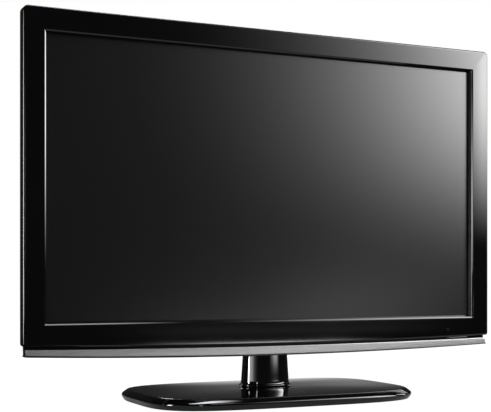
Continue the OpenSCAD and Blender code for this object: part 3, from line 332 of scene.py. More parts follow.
class Shader:
    """A material under construction, with its Principled BSDF and a few common chains of nodes."""

    def __init__(self, name, color, roughness, metallic=0.0):
        self.material = bpy.data.materials.new(name)
        self.material.use_nodes = True
        self.tree = self.material.node_tree
        self.bsdf = self.tree.nodes["Principled BSDF"]
        self.set("Base Color", (*color, 1.0))
        self.set("Roughness", roughness)
        self.set("Metallic", metallic)
        self.material.diffuse_color = (*color, 1.0)
        self.normal = None

    def set(self, socket, value):
        self.bsdf.inputs[socket].default_value = value

    def node(self, kind, **values):
        made = self.tree.nodes.new(kind)
        for key, value in values.items():
            setattr(made, key, value)
        return made

    def link(self, source, target):
        self.tree.links.new(source, target)

    def place(self, stretch=(1.0, 1.0, 1.0)):
        """Object coordinates in metres, stretched along the axes."""
        coordinates = self.node("ShaderNodeTexCoord")
        mapping = self.node("ShaderNodeMapping")
        mapping.inputs["Scale"].default_value = stretch
        self.link(coordinates.outputs["Object"], mapping.inputs["Vector"])
        return mapping.outputs["Vector"]

    def axis(self, name):
        split = self.node("ShaderNodeSeparateXYZ")
        coordinates = self.node("ShaderNodeTexCoord")
        self.link(coordinates.outputs["Object"], split.inputs[0])
        return split.outputs[name]

    def noise(self, scale, detail=3.0, stretch=(1.0, 1.0, 1.0)):
        made = self.node("ShaderNodeTexNoise")
        made.inputs["Scale"].default_value = scale
        made.inputs["Detail"].default_value = detail
        self.link(self.place(stretch), made.inputs["Vector"])
        return made.outputs["Fac"]

    def cells(self, scale, stretch=(1.0, 1.0, 1.0)):
        made = self.node("ShaderNodeTexVoronoi")
        made.inputs["Scale"].default_value = scale
        self.link(self.place(stretch), made.inputs["Vector"])
        return made.outputs["Distance"]

    def spread(self, value, low, high, from_low=0.3, from_high=0.7):
        made = self.node("ShaderNodeMapRange")
        made.inputs["From Min"].default_value = from_low
        made.inputs["From Max"].default_value = from_high
        made.inputs["To Min"].default_value = low
        made.inputs["To Max"].default_value = high
        self.link(value, made.inputs["Value"])
        return made.outputs["Result"]

    def math(self, operation, first, second=None, value=0.0):
        made = self.node("ShaderNodeMath", operation=operation)
        self.link(first, made.inputs[0])
        made.inputs[1].default_value = value
        if second is not None:
            self.link(second, made.inputs[1])
        return made.outputs[0]

    def ramp(self, value, stops, interpolation="LINEAR"):
        made = self.node("ShaderNodeValToRGB")
        made.color_ramp.interpolation = interpolation
        elements = made.color_ramp.elements
        while len(elements) < len(stops):
            elements.new(1.0)
        for element, (position, color) in zip(elements, stops):
            element.position = position
            element.color = (*color, 1.0)
        self.link(value, made.inputs["Fac"])
        return made.outputs["Color"]

    def mix(self, factor, first, second):
        """Two colours mixed by a factor; each is a socket or three numbers."""
        made = self.node("ShaderNodeMix", data_type="RGBA")
        self.link(factor, made.inputs["Factor"])
        for socket, color in ((made.inputs[6], first), (made.inputs[7], second)):
            if isinstance(color, tuple):
                socket.default_value = (*color, 1.0)
            else:
                self.link(color, socket)
        return made.outputs[2]

    def color(self, socket):
        self.link(socket, self.bsdf.inputs["Base Color"])

    def roughness(self, socket):
        self.link(socket, self.bsdf.inputs["Roughness"])

    def edges(self, radius):
        """Rounds the sharp edges of a CAD solid in the shading."""
        made = self.node("ShaderNodeBevel", samples=4)
        made.inputs["Radius"].default_value = radius
        self.normal = made.outputs["Normal"]
        self.link(self.normal, self.bsdf.inputs["Normal"])

    def bump(self, height, strength, distance):
        made = self.node("ShaderNodeBump")
        made.inputs["Strength"].default_value = strength
        made.inputs["Distance"].default_value = distance
        self.link(height, made.inputs["Height"])
        if self.normal is not None:
            self.link(self.normal, made.inputs["Normal"])
        self.normal = made.outputs["Normal"]
        self.link(self.normal, self.bsdf.inputs["Normal"])


# Materials


def gloss_black(name="gloss_black", lacquer=0.0):
    """Piano gloss: deep black under a clear polish with faint smears and a trace of orange peel."""
    shader = Shader(name, (0.002, 0.002, 0.0023), 0.06)
    shader.set("IOR", 1.5)
    shader.set("Coat Weight", lacquer)
    smear = shader.noise(9.0, 4.0)
    shader.roughness(shader.spread(smear, 0.045, 0.085))
    shader.color(shader.mix(smear, (0.0017, 0.0017, 0.002), (0.0025, 0.0025, 0.0028)))
    shader.bump(shader.noise(260.0, 1.0), 0.02, 0.0002)
    return shader.material


def silver_trim():
    """Silver paint with fine metal flake, drawn out lengthways."""
    shader = Shader("silver_trim", (0.41, 0.414, 0.422), 0.36, 0.9)
    flake = shader.cells(2600.0, (0.4, 1.0, 1.0))
    grain = shader.noise(900.0, 3.0, (0.03, 1.0, 1.0))
    tone = shader.math("ADD", shader.math("MULTIPLY", flake, value=0.5), grain)
    shader.color(shader.ramp(shader.spread(tone, 0.0, 1.0, 0.4, 1.0), [
        (0.0, (0.37, 0.374, 0.382)), (1.0, (0.45, 0.454, 0.462)),
    ]))
    shader.roughness(shader.spread(grain, 0.32, 0.42))
    shader.bump(grain, 0.08, 0.0002)
    return shader.material


def screen_dark():
    """Anti-glare panel: near black behind a fine matte grain, with a blacker border round the picture."""
    shader = Shader("screen_dark", (0.0018, 0.0019, 0.0021), 0.25)
    shader.set("IOR", 1.5)
    shader.set("Specular IOR Level", 0.63)
    grain = shader.noise(2400.0, 2.0)
    beside = shader.math("GREATER_THAN", shader.math("ABSOLUTE", shader.axis("X")), value=ACTIVE_W / 2 * MM)
    height = shader.math("SUBTRACT", shader.axis("Z"), value=SCREEN_Z * MM)
    above = shader.math("GREATER_THAN", shader.math("ABSOLUTE", height), value=ACTIVE_H / 2 * MM)
    border = shader.math("MAXIMUM", beside, above)
    picture = shader.mix(grain, (0.0013, 0.0014, 0.0016), (0.0023, 0.0024, 0.0026))
    shader.color(shader.mix(border, picture, (0.001, 0.001, 0.001)))
    shader.roughness(shader.spread(grain, 0.23, 0.27))
    shader.bump(grain, 0.05, 0.0001)
    return shader.material


def moulded(name, color, roughness, texture, depth, edge=0.0005):
    """Moulded plastic with a spark-eroded skin, cloudy in tone."""
    shader = Shader(name, color, roughness)
    shader.edges(edge)
    cloud = shader.noise(14.0, 4.0)
    skin = shader.noise(texture, 3.0)
    dark = tuple(c * 0.82 for c in color)
    light = tuple(min(c * 1.22 + 0.002, 1.0) for c in color)
    shader.color(shader.mix(cloud, dark, light))
    shader.roughness(shader.spread(skin, roughness - 0.07, roughness + 0.07))
    shader.bump(skin, depth, 0.0004)
    return shader.material


def metal(name, color, roughness, stretch, edge=0.0003):
    """Drawn or turned metal: scratches along one direction over a slow change of tone."""
    shader = Shader(name, color, roughness, 1.0)
    shader.edges(edge)
    lines = shader.noise(700.0, 4.0, stretch)
    cloud = shader.noise(22.0, 3.0)
    dark = tuple(c * 0.8 for c in color)
    light = tuple(min(c * 1.12, 1.0) for c in color)
    shader.color(shader.mix(shader.math("MULTIPLY", lines, cloud), dark, light))
    shader.roughness(shader.spread(lines, roughness - 0.08, roughness + 0.1))
    shader.bump(lines, 0.12, 0.0002)
    return shader.material


def painted(name, color, roughness):
    """Powder coat: orange peel in the film and a cloudy tone that is lighter in places."""
    shader = Shader(name, color, roughness)
    shader.edges(0.0004)
    peel = shader.noise(520.0, 2.0)
    cloud = shader.noise(18.0, 3.0)
    shader.color(shader.mix(cloud, color, tuple(c * 1.3 for c in color)))
    shader.roughness(shader.spread(cloud, roughness - 0.06, roughness + 0.08))
    shader.bump(peel, 0.2, 0.0004)
    return shader.material


def board(name, mask, copper):
    """Circuit board: solder mask over tracks, with tinned pads."""
    shader = Shader(name, mask, 0.38)
    shader.edges(0.0002)
    tracks = shader.node("ShaderNodeTexBrick")
    tracks.inputs["Scale"].default_value = 90.0
    tracks.inputs["Mortar Size"].default_value = 0.03
    tracks.inputs["Color1"].default_value = (*mask, 1.0)
    tracks.inputs["Color2"].default_value = (*(c * 0.8 for c in mask), 1.0)
    tracks.inputs["Mortar"].default_value = (*(c * 1.5 for c in mask), 1.0)
    turn = shader.node("ShaderNodeMapping")
    turn.inputs["Rotation"].default_value = (math.radians(90), 0.0, 0.0)
    coordinates = shader.node("ShaderNodeTexCoord")
    shader.link(coordinates.outputs["Object"], turn.inputs["Vector"])
    shader.link(turn.outputs["Vector"], tracks.inputs["Vector"])
    pads = shader.math("LESS_THAN", shader.cells(260.0), value=0.12)
    shader.color(shader.mix(pads, tracks.outputs["Color"], copper))
    shader.bump(tracks.outputs["Fac"], 0.15, 0.0001)
    return shader.material


def film(name, color, roughness, scale):
    """Thin sheet with slow patches of painted shade standing in for waviness, and a fine lengthways tooth.
    """
    shader = Shader(name, color, roughness)
    painted_wave_shade = shader.noise(7.0, 2.0)
    tooth = shader.noise(scale, 2.0, (0.05, 1.0, 1.0))
    # Slow noise darkens the colour in patches: painted shade for the sheet's waviness.
    shader.color(shader.mix(painted_wave_shade, tuple(c * 0.93 for c in color), color))
    shader.roughness(shader.spread(tooth, roughness - 0.06, roughness + 0.06))
    shader.bump(tooth, 0.1, 0.0002)
    return shader.material


def signal_jacks():
    """Round jacks moulded in one colour per signal, told apart by their height and column."""
    shader = Shader("socket_coloured", (0.4, 0.34, 0.05), 0.4)
    shader.edges(0.0003)
    low, high = node_box("rca_sockets")
    height = shader.spread(shader.axis("Z"), 0.0, 1.0, low[2] * MM, high[2] * MM)
    red, white, yellow = (0.42, 0.02, 0.02), (0.7, 0.69, 0.66), (0.55, 0.36, 0.02)
    blue, green = (0.02, 0.07, 0.4), (0.02, 0.26, 0.06)
    five = shader.ramp(height, [(0.0, red), (0.2, white), (0.4, red), (0.6, blue), (0.8, green)], "CONSTANT")
    three = shader.ramp(height, [(0.0, red), (0.6, white), (0.8, yellow)], "CONSTANT")
    middle = (low[0] + high[0]) / 2 * MM
    column = shader.math("GREATER_THAN", shader.axis("X"), value=middle)
    shader.color(shader.mix(column, five, three))
    skin = shader.noise(900.0, 2.0)
    shader.roughness(shader.spread(skin, 0.34, 0.46))
    shader.bump(skin, 0.1, 0.0002)
    return shader.material


def light_pipe():
    """Frosted clear bar over the unlit standby lamp."""
    shader = Shader("light_pipe", (0.34, 0.35, 0.37), 0.35)
    shader.set("Transmission Weight", 0.35)
    frost = shader.noise(1500.0, 2.0)
    shader.color(shader.mix(frost, (0.3, 0.31, 0.33), (0.4, 0.41, 0.43)))
    shader.roughness(shader.spread(frost, 0.28, 0.42))
    shader.bump(frost, 0.1, 0.0001)
    return shader.material


def ir_window():
    """Dark red window that hides the infrared receiver."""
    shader = Shader("ir_dark_red", (0.02, 0.004, 0.005), 0.12)
    depth = shader.noise(300.0, 2.0)
    shader.color(shader.mix(depth, (0.014, 0.003, 0.004), (0.03, 0.006, 0.007)))
    shader.roughness(shader.spread(depth, 0.08, 0.16))
    shader.bump(depth, 0.03, 0.0001)
    return shader.material


ALONG_X = (0.04, 1.0, 1.0)
ALONG_Z = (1.0, 1.0, 0.04)

gloss = gloss_black()
gloss_neck = gloss_black("gloss_black_neck", 1.0)
trim = silver_trim()
cover_skin = moulded("cover_black", (0.02, 0.02, 0.0215), 0.46, 1100.0, 0.32, 0.0009)
black_plastic = moulded("black_plastic", (0.025, 0.025, 0.027), 0.5, 800.0, 0.25)
key_plastic = moulded("key_black", (0.024, 0.024, 0.026), 0.34, 1400.0, 0.12, 0.0006)
sheet_steel = metal("sheet_steel", (0.5, 0.51, 0.52), 0.38, ALONG_X)
nickel = metal("socket_metal", (0.58, 0.57, 0.54), 0.26, ALONG_Z)
turned_steel = metal("shaft_steel", (0.5, 0.5, 0.51), 0.3, ALONG_Z)
zinc = metal("screw_zinc", (0.6, 0.6, 0.57), 0.3, (1.0, 0.2, 1.0))
fins = metal("heat_sink_metal", (0.46, 0.47, 0.49), 0.36, ALONG_Z)
white_film = film("white_film", (0.82, 0.82, 0.81), 0.5, 600.0)
powder_coat = painted("painted_steel", (0.045, 0.045, 0.048), 0.45)
black_oxide = painted("screw_dark", (0.03, 0.03, 0.033), 0.32)
rubber = moulded("rubber", (0.022, 0.022, 0.022), 0.78, 500.0, 0.4)

NODE_MATERIALS = {
    "rear_cover": cover_skin,
    "lcd_glass": screen_dark(),
    "ir_window": ir_window(),
    "standby_light": light_pipe(),
    "panel_front_frame": black_oxide,
    "panel_mid_frame": black_plastic,
    "prism_film": white_film,
    "diffuser_film": white_film,
    "diffuser_plate": film("diffuser_plate", (0.86, 0.86, 0.85), 0.42, 300.0),
    "backlight_lamps": film("lamp_tube", (0.88, 0.88, 0.83), 0.2, 200.0),
    "lamp_holders": white_film,
    "reflector_sheet": white_film,
    "back_chassis": sheet_steel,
    "source_boards": board("board_green", (0.02, 0.13, 0.05), (0.5, 0.48, 0.42)),
    "panel_ribbons": film("ribbon", (0.52, 0.38, 0.16), 0.35, 900.0),
    "power_board": board("board_tan", (0.36, 0.24, 0.09), (0.55, 0.54, 0.5)),
    "heat_sink": fins,
    "signal_ribbon": film("ribbon_grey", (0.6, 0.6, 0.6), 0.42, 1600.0),
    "power_harness": moulded("wire", (0.62, 0.58, 0.5), 0.5, 700.0, 0.2),
    "jack_tray": black_plastic,
    "hdmi_sockets": nickel,
    "usb_socket": nickel,
    "vga_socket": moulded("socket_blue", (0.03, 0.07, 0.3), 0.4, 900.0, 0.12),
    "rca_sockets": signal_jacks(),
    "optical_socket": black_plastic,
    "audio_socket": moulded("socket_green", (0.12, 0.34, 0.12), 0.42, 900.0, 0.12),
    "antenna_socket": nickel,
    "ac_inlet": black_plastic,
    "speaker_left": black_plastic,
    "speaker_right": black_plastic,
    "bracket_left": sheet_steel,
    "bracket_right": sheet_steel,
    "cover_screws": black_oxide,
    "board_screws": zinc,
    "neck_post": powder_coat,
    "stand_screws": black_oxide,
    "base_plate": powder_coat,
    "swivel_shaft": turned_steel,
    "swivel_washer": moulded("acetal", (0.78, 0.78, 0.75), 0.35, 600.0, 0.08),
    "swivel_nut": zinc,
    "base_screws": black_oxide,
    "rubber_feet": rubber,
}
for twin in ("timing_board", "main_board", "ir_board", "key_board"):
    NODE_MATERIALS[twin] = NODE_MATERIALS["source_boards"]
for key in KEY_NAMES:
    NODE_MATERIALS["key_" + key] = key_plastic
for node, material in NODE_MATERIALS.items():
    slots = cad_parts[node].data.materials
    slots.clear()
    slots.append(material)


# Bezel


def stadium_cutter(name, x0, x1, y, z, half_width, reach):
    """Upright slot with round ends, cut along X."""
    outline = np.vstack([
        arc(y, z + reach, half_width, 0, 180, 16),
        arc(y, z - reach, half_width, 180, 360, 16),
    ])
    rings = [np.column_stack([np.full(len(outline), x), outline]) for x in (x0, x1)]
    return add_loft(name, rings)


def bezel_shell():
    """Moulded bezel: rounded outside edge, flat gloss face, chamfered lip round the screen, hollow back."""
    rounding = np.radians(np.linspace(0, 90, 10))
    slope_d = BEZEL_DEPTH - BACK_SLOPE
    outside = [
        (BACK_INSET, BEZEL_DEPTH), (0.4, slope_d + 0.1), (0.1, slope_d), (0.0, slope_d - 0.2),
        (0.0, EDGE_R * 2),
    ]
    outside += [(EDGE_R * (1 - math.cos(t)), EDGE_R * (1 - math.sin(t))) for t in rounding]
    edge = (LIP_RUN, 0.0)
    turn = (LIP_RUN - LIP_CHAMFER, LIP_CHAMFER_D)
    foot = (0.0, RECESS - FOOT_RISE)
    inside = [[LIP_RUN + FACE_BAND, 0.0], [LIP_RUN + 0.1, 0.0]]
    inside += flat_run(edge, turn, 0.06) + flat_run(turn, foot, 0.03) + [[0.0, RECESS - FOOT_GAP]]
    inside = soften(inside, 1)
    rings = [at_depth(head_outline(inset), depth) for inset, depth in outside]
    rings += [at_depth(screen_outline(grow), depth) for grow, depth in inside]
    rings.append(at_depth(screen_outline(WALL), RECESS - FOOT_GAP))
    rings.append(at_depth(screen_outline(LIP_RUN + WALL), WALL))
    rings.append(at_depth(head_outline(WALL + 0.5), WALL))
    rings.append(at_depth(head_outline(WALL), slope_d))
    rings.append(at_depth(head_outline(WALL + BACK_INSET), BEZEL_DEPTH))
    shell = add_loft("bezel_shell", rings, ring_shaped=True)

    keys = [node_box("key_" + key) for key in KEY_NAMES]
    heights = [(low[2] + high[2]) / 2 for low, high in keys]
    key_y = (keys[0][0][1] + keys[0][1][1]) / 2
    reach = (KEY_LEN - KEY_WIDE) / 2
    middle = (heights[0] + heights[-1]) / 2
    groove_half = KEY_WIDE / 2 + GROOVE_SIDE
    groove_reach = (heights[-1] - heights[0]) / 2 + KEY_LEN / 2 + GROOVE_END - groove_half
    clear = HALF_W + CUT_PAST
    inner = HALF_W - WALL - CUT_PAST
    hole_half = KEY_WIDE / 2 + KEY_CLEAR
    groove = stadium_cutter("groove", HALF_W - KEY_PROUD, clear, key_y, middle, groove_half, groove_reach)
    cutters = [groove]
    for height in heights:
        cutters.append(stadium_cutter("key_hole", inner, clear, key_y, height, hole_half, reach))
    low, high = node_box("ir_window")
    spot = arc((low[0] + high[0]) / 2, (low[2] + high[2]) / 2, WINDOW_HOLE_R, 0, 360, 32)[:-1]
    window_ends = [at_depth(spot, -WINDOW_CUT_PAST), at_depth(spot, WALL + WINDOW_CUT_PAST)]
    cutters.append(add_loft("window_hole", window_ends))
    carve(shell, cutters)
    dress(shell, "head", "front_bezel", gloss, BEZEL_SHARP)


bezel_shell()


# Chin: bright trim, and the lip and web behind it


def along_chin(name, half_width, section, end_round):
    """Skin along the chin, from a section given at each place x with the ends' rounding as a tuck."""
    ease = end_round * (1 - np.cos(np.linspace(0, np.pi / 2, 7)))
    left = -half_width + ease
    places = np.concatenate([left, np.linspace(left[-1], -left[-1], 2 * LONG_STEPS + 1)[1:-1], -left[::-1]])
    rings = []
    for x in places:
        left_over = max(0.0, end_round - (half_width - abs(x)))
        tuck = end_round - math.sqrt(max(end_round ** 2 - left_over ** 2, 0.0))
        rings.append(section(x, tuck))
    return add_loft(name, rings)


def chin_trim_bar():
    """Silver bar with a gently crowned front and slanted ends."""
    half = HALF_W - TRIM_INSET - TRIM_TAPER
    low_half = [(5.0, 0.0), (0.9, 0.0), (0.3, 0.0), (0.1, 0.05)]
    high_half = [(depth, 1 - share) for depth, share in low_half[::-1]]
    front = soften(low_half + [(0.0, 0.5)] + high_half, 2)

    def section(x, tuck):
        share = x / half
        profile = np.vstack([[(TRIM_DEPTH, 0.0)], front, [(TRIM_DEPTH, 1.0)]])
        wide = share * (half + TRIM_TAPER * profile[:, 1])
        low, top = chin_z(wide, 2), chin_z(wide, 1)
        depth = TRIM_SETBACK + np.minimum(profile[:, 0] + tuck, TRIM_DEPTH)
        return np.column_stack([wide, FRONT_Y + depth, low + (top - low) * profile[:, 1]])

    bar = along_chin("chin_trim_bar", half, section, TRIM_END_R)
    dress(bar, "head", "chin_trim", trim, SHARP)


def lower_lip_strip():
    """Black lip under the trim, and the upright web that closes the gap above it."""
    half = HALF_W - LIP_INSET
    front = TRIM_SETBACK - LIP_PROUD
    web = TRIM_SETBACK + TRIM_DEPTH

    def section(x, tuck):
        top, low, web_top = chin_z(x, 2), chin_z(x, 3), chin_z(x, 0) - 0.1
        nose = soften([
            (front + NOSE_RUN, top), (front + NOSE_R, top), (front, top - NOSE_R),
            (front, low + NOSE_R), (front + NOSE_R, low), (front + NOSE_RUN, low),
        ], 1)
        nose[:, 0] += tuck
        nose[:, 1] = np.maximum(nose[:, 1], low + tuck * 0.5)
        rest = [
            (BEZEL_DEPTH, low + tuck * 0.5), (BEZEL_DEPTH, top), (web + WALL, top), (web + WALL, web_top),
            (web, web_top), (web, top),
        ]
        profile = np.vstack([nose, rest])
        return np.column_stack([np.full(len(profile), x), FRONT_Y + profile[:, 0], profile[:, 1]])

    strip = along_chin("lower_lip_strip", half, section, LIP_END_R)
    dress(strip, "head", "lower_lip", gloss, SHARP)


chin_trim_bar()
lower_lip_strip()


# Neck


def neck_shell(name, node, start):
    """Half of the neck's cover. It flares into a thin foot, and its long edges turn in at the seam."""
    low, high = node_box(node)
    profile = soften([
        (NECK_FLARE - 0.6, low[2]), (NECK_FLARE, low[2] + 0.5), (NECK_FLARE, low[2] + 1.4),
        (NECK_FLARE - 0.8, low[2] + 2.0), (3.4, low[2] + 2.9), (2.9, low[2] + 4.5), (-1.0, high[2]),
    ], 2)
    rings = []
    seam = math.copysign(SEAM_GAP, 90 - start)
    end = start + 180
    for grow, z in profile:
        half_w, half_d = NECK_W / 2 + grow, NECK_D / 2 + grow
        outer = pillow(half_w, half_d, NECK_POWER, NECK_STEPS, start, end)
        inner = pillow(half_w - WALL, half_d - WALL, NECK_POWER, NECK_STEPS, start, end)
        outer[:, 1] += seam * (1 - np.clip(np.abs(outer[:, 1]) / SEAM_FADE, 0, 1))
        outer[[0, -1], 0] *= 1 - SEAM_TUCK / NECK_W
        rings.append(at_height(np.vstack([outer, inner[::-1]]), z, AXIS_Y))
    shell = add_loft(name, rings)
    dress(shell, "head", node, gloss_neck, SHARP)


neck_shell("neck_front_shell", "neck_front_cover", 180)
neck_shell("neck_rear_shell", "neck_rear_cover", 0)


# Base


def base_shell():
    """Gloss base: undercut skirt, sloped edge and a crowned top round the swivel's hole."""
    half_w, half_d, top = node_box("base_cover")[1]
    edge = soften([
        (BASE_UNDERCUT, BASE_LIFT), (BASE_UNDERCUT * 0.3, BASE_SKIRT * 0.4), (0.0, BASE_SKIRT * 0.7),
        (BASE_BEVEL * 0.06, BASE_SKIRT * 0.9), (BASE_BEVEL * 0.2, BASE_SKIRT + 0.4),
        (BASE_BEVEL * 0.94, BASE_RIM - 0.3), (BASE_BEVEL + 1.2, BASE_RIM + 0.05),
    ], 2)

    def ring(inset, z):
        return at_height(pillow(half_w - inset, half_d - inset, BASE_POWER, BASE_STEPS), z)

    def crown(share, sink):
        rise = (top - BASE_RIM) * (1 - share ** 2)
        wide, deep = (half_w - BASE_BEVEL) * share, (half_d - BASE_BEVEL) * share
        outline = pillow(wide, deep, BASE_POWER, BASE_STEPS)
        return at_height(outline, BASE_RIM + rise - sink)

    around = arc(0.0, AXIS_Y, SWIVEL_HOLE_R, 0, 360, BASE_STEPS)[:-1]
    shares = np.linspace(0.97, 0.36, 22)
    rings = [ring(inset, z) for inset, z in edge]
    rings += [crown(share, 0.0) for share in shares]
    rings.append(at_height(around, top - 0.2))
    rings.append(at_height(around, top - WALL))
    rings += [crown(share, WALL) for share in shares[::-3]]
    rings.append(ring(BASE_BEVEL + WALL / 2, BASE_RIM - WALL))
    rings.append(ring(BASE_UNDERCUT + WALL, BASE_SKIRT - WALL))
    rings.append(ring(BASE_UNDERCUT + WALL, BASE_LIFT))
    shell = add_loft("base_shell", rings, ring_shaped=True)
    dress(shell, "base", "base_cover", gloss_black("gloss_black_base"), SHARP)


base_shell()


# Camera, at the photograph's viewing angle

IMAGE_W = 491
FOCAL_PX = 1120.8
SENSOR = 36.0
CAMERA_SHIFT = 0.1449
CAMERA_PLACE = (-0.7524, -1.5337, 0.1842)
CAMERA_TURN = -25.02

camera_data = bpy.data.cameras.new("camera")
camera_data.sensor_width = SENSOR
camera_data.lens = FOCAL_PX * SENSOR / IMAGE_W
camera_data.shift_y = CAMERA_SHIFT
camera = bpy.data.objects.new("camera", camera_data)
camera.location = CAMERA_PLACE
camera.rotation_euler = (math.radians(90), 0, math.radians(CAMERA_TURN))
bpy.context.scene.collection.objects.link(camera)
bpy.context.scene.camera = camera


# Studio

# Strength of the world on matte surfaces, and in gloss outside its pale patches
MATTE_LEVEL = 0.42
GLOSS_LEVEL = 0.03
# The floor's own glow, and its share in what the camera and what gloss sees of the floor
FLOOR_GLOW = 1.25
FLOOR_SHOWN = 0.75
FLOOR_IN_GLOSS = 0.1
FLOOR_REACH = 12.0
FLOOR_DROP = 0.0005


def ramp_node(tree, source, low, high, kind="SMOOTHSTEP"):
    """Rise from 0 to 1 between two values."""
    made = tree.nodes.new("ShaderNodeMapRange")
    made.interpolation_type = kind
    made.inputs["From Min"].default_value = low
    made.inputs["From Max"].default_value = high
    tree.links.new(source, made.inputs["Value"])
    return made.outputs["Result"]


def math_node(tree, operation, first, second=0.0):
    """An operation on two sockets, or on a socket and a number."""
    made = tree.nodes.new("ShaderNodeMath")
    made.operation = operation
    tree.links.new(first, made.inputs[0])
    if isinstance(second, bpy.types.NodeSocket):
        tree.links.new(second, made.inputs[1])
    else:
        made.inputs[1].default_value = second
    return made.outputs[0]


def softbox(name, place, turn, size, radiance, fades=(), reflects=True):
    """Rectangular soft light. A fade is (axis, dark end, bright end, power), in shares of its width (X)
    or height (Y). A light that reflects shows in gloss only. The others light the object evenly and
    don't show in it."""
    data = bpy.data.lights.new(name, "AREA")
    data.shape = "RECTANGLE"
    data.size, data.size_y = size
    data.energy = radiance * math.pi * size[0] * size[1]
    data.use_nodes = True
    tree = data.node_tree
    emission = tree.nodes["Emission"]
    geometry = tree.nodes.new("ShaderNodeNewGeometry")
    split = tree.nodes.new("ShaderNodeSeparateXYZ")
    tree.links.new(geometry.outputs["Parametric"], split.inputs[0])
    strength = None
    for axis, dark, bright, power in fades:
        part = ramp_node(tree, split.outputs[axis], dark, bright, "SMOOTHSTEP" if power == 1 else "LINEAR")
        part = math_node(tree, "POWER", part, power)
        strength = part if strength is None else math_node(tree, "MULTIPLY", strength, part)
    if strength is not None:
        tree.links.new(strength, emission.inputs["Strength"])
    light = bpy.data.objects.new(name, data)
    light.location = place
    light.rotation_euler = [math.radians(angle) for angle in turn]
    light.visible_camera = False
    light.visible_diffuse = not reflects
    light.visible_glossy = reflects
    bpy.context.scene.collection.objects.link(light)


FACING_BACK = (90, 0, 0)
FACING_FRONT = (90, 0, 180)
FACING_LEFT = (90, 0, 90)
FACING_RIGHT = (90, 0, -90)
FACING_DOWN = (0, 0, 0)

# The wide light that fades across the bezel and the screen, and a strip below it for the neck
softbox("key_box", (1.3, -1.1, 1.21), FACING_BACK, (2.6, 1.98), 16.0, [
    ("X", 0.0, 0.488, 4), ("Y", 0.025, 0.268, 1),
])
softbox("low_box", (0.8, -1.1, 0.103), FACING_BACK, (0.7, 0.076), 4.2, [
    ("X", 0.0, 0.4, 1), ("X", 1.0, 0.5, 1), ("Y", 0.0, 0.8, 1), ("Y", 1.0, 0.85, 1),
])
# Lights for the lip's sides, the rounded edge, the base's sloped edge and the neck's left side
softbox("side_box", (1.9, -0.09, 0.75), FACING_LEFT, (0.2, 1.2), 16.0, [("Y", 0.04, 0.5, 1)])
softbox("top_box", (1.05, -0.53, 1.6), FACING_DOWN, (1.0, 0.26), 9.0, [("X", 0.0, 0.85, 1)])
softbox("top_left_box", (0.25, -0.53, 1.6), FACING_DOWN, (0.5, 0.26), 6.0, [("X", 1.0, 0.4, 1)])
softbox("base_box", (0.1, 0.04, 1.55), FACING_DOWN, (0.8, 0.22), 16.0, [("X", 1.0, 0.5, 1)])
softbox("left_box", (-1.6, -0.32, 0.455), FACING_RIGHT, (0.56, 1.21), 38.0, [
    ("X", 0.0, 0.25, 1), ("X", 0.85, 0.5, 1), ("Y", 0.0, 0.29, 1), ("Y", 1.0, 0.5, 1),
])
softbox("neck_box", (-1.6, -1.025, 0.14), FACING_RIGHT, (1.55, 0.16), 4.5, [
    ("X", 0.0, 0.25, 1), ("X", 1.0, 0.25, 1), ("Y", 0.0, 0.2, 1), ("Y", 1.0, 0.8, 1),
])
softbox("neck_strip", (-0.8, -1.1, 0.14), FACING_BACK, (1.0, 0.12), 2.0, [("X", 1.0, 0.0, 2)])
# A light under the front for the trim, one for the lip's right side, and the lights behind and above
softbox("silver_box", (0.5, -1.1, -0.11), FACING_BACK, (0.8, 0.08), 9.5, [
    ("X", 0.0, 0.5, 1), ("X", 1.0, 0.5, 1),
])
softbox("front_left_box", (-0.46, -1.1, 0.4), FACING_BACK, (0.1, 0.66), 8.0, [
    ("Y", 0.0, 0.5, 1), ("Y", 1.0, 0.5, 1),
])
softbox("rear_box", (0.7, 1.8, 1.25), FACING_FRONT, (0.9, 1.0), 7.0)
softbox("fill", (0.6, -2.2, 2.0), (55, 0, 15), (2.4, 1.6), 1.6, reflects=False)
softbox("rear_fill", (-0.4, 2.2, 2.0), (-55, 0, 10), (2.0, 1.4), 1.2, reflects=False)


def add_lobe(tree, direction, azimuth, half_width, middle, half_height, level):
    """A soft patch of the world, at an azimuth from the back (clockwise, degrees) and a height (sine of
    the elevation). Upward it dies away by the factor e at each half height, and downward it ends at one
    half height."""
    turn = math.radians(azimuth)
    split = tree.nodes.new("ShaderNodeSeparateXYZ")
    tree.links.new(direction, split.inputs[0])
    across = tree.nodes.new("ShaderNodeVectorMath")
    across.operation = "DOT_PRODUCT"
    across.inputs[1].default_value = (math.cos(turn), -math.sin(turn), 0)
    ahead = tree.nodes.new("ShaderNodeVectorMath")
    ahead.operation = "DOT_PRODUCT"
    ahead.inputs[1].default_value = (math.sin(turn), math.cos(turn), 0)
    tree.links.new(direction, across.inputs[0])
    tree.links.new(direction, ahead.inputs[0])
    aside = math_node(tree, "ABSOLUTE", across.outputs["Value"])
    height = math_node(tree, "SUBTRACT", split.outputs["Z"], middle)
    above = math_node(tree, "MAXIMUM", height, 0.0)
    fall = math_node(tree, "EXPONENT", math_node(tree, "MULTIPLY", above, -1 / half_height))
    fall = math_node(tree, "MULTIPLY", fall, ramp_node(tree, height, -half_height, 0.0))
    patch = math_node(tree, "MULTIPLY", ramp_node(tree, aside, half_width, 0.3 * half_width), fall)
    patch = math_node(tree, "MULTIPLY", patch, ramp_node(tree, ahead.outputs["Value"], 0.0, 0.5))
    return math_node(tree, "MULTIPLY", patch, level)


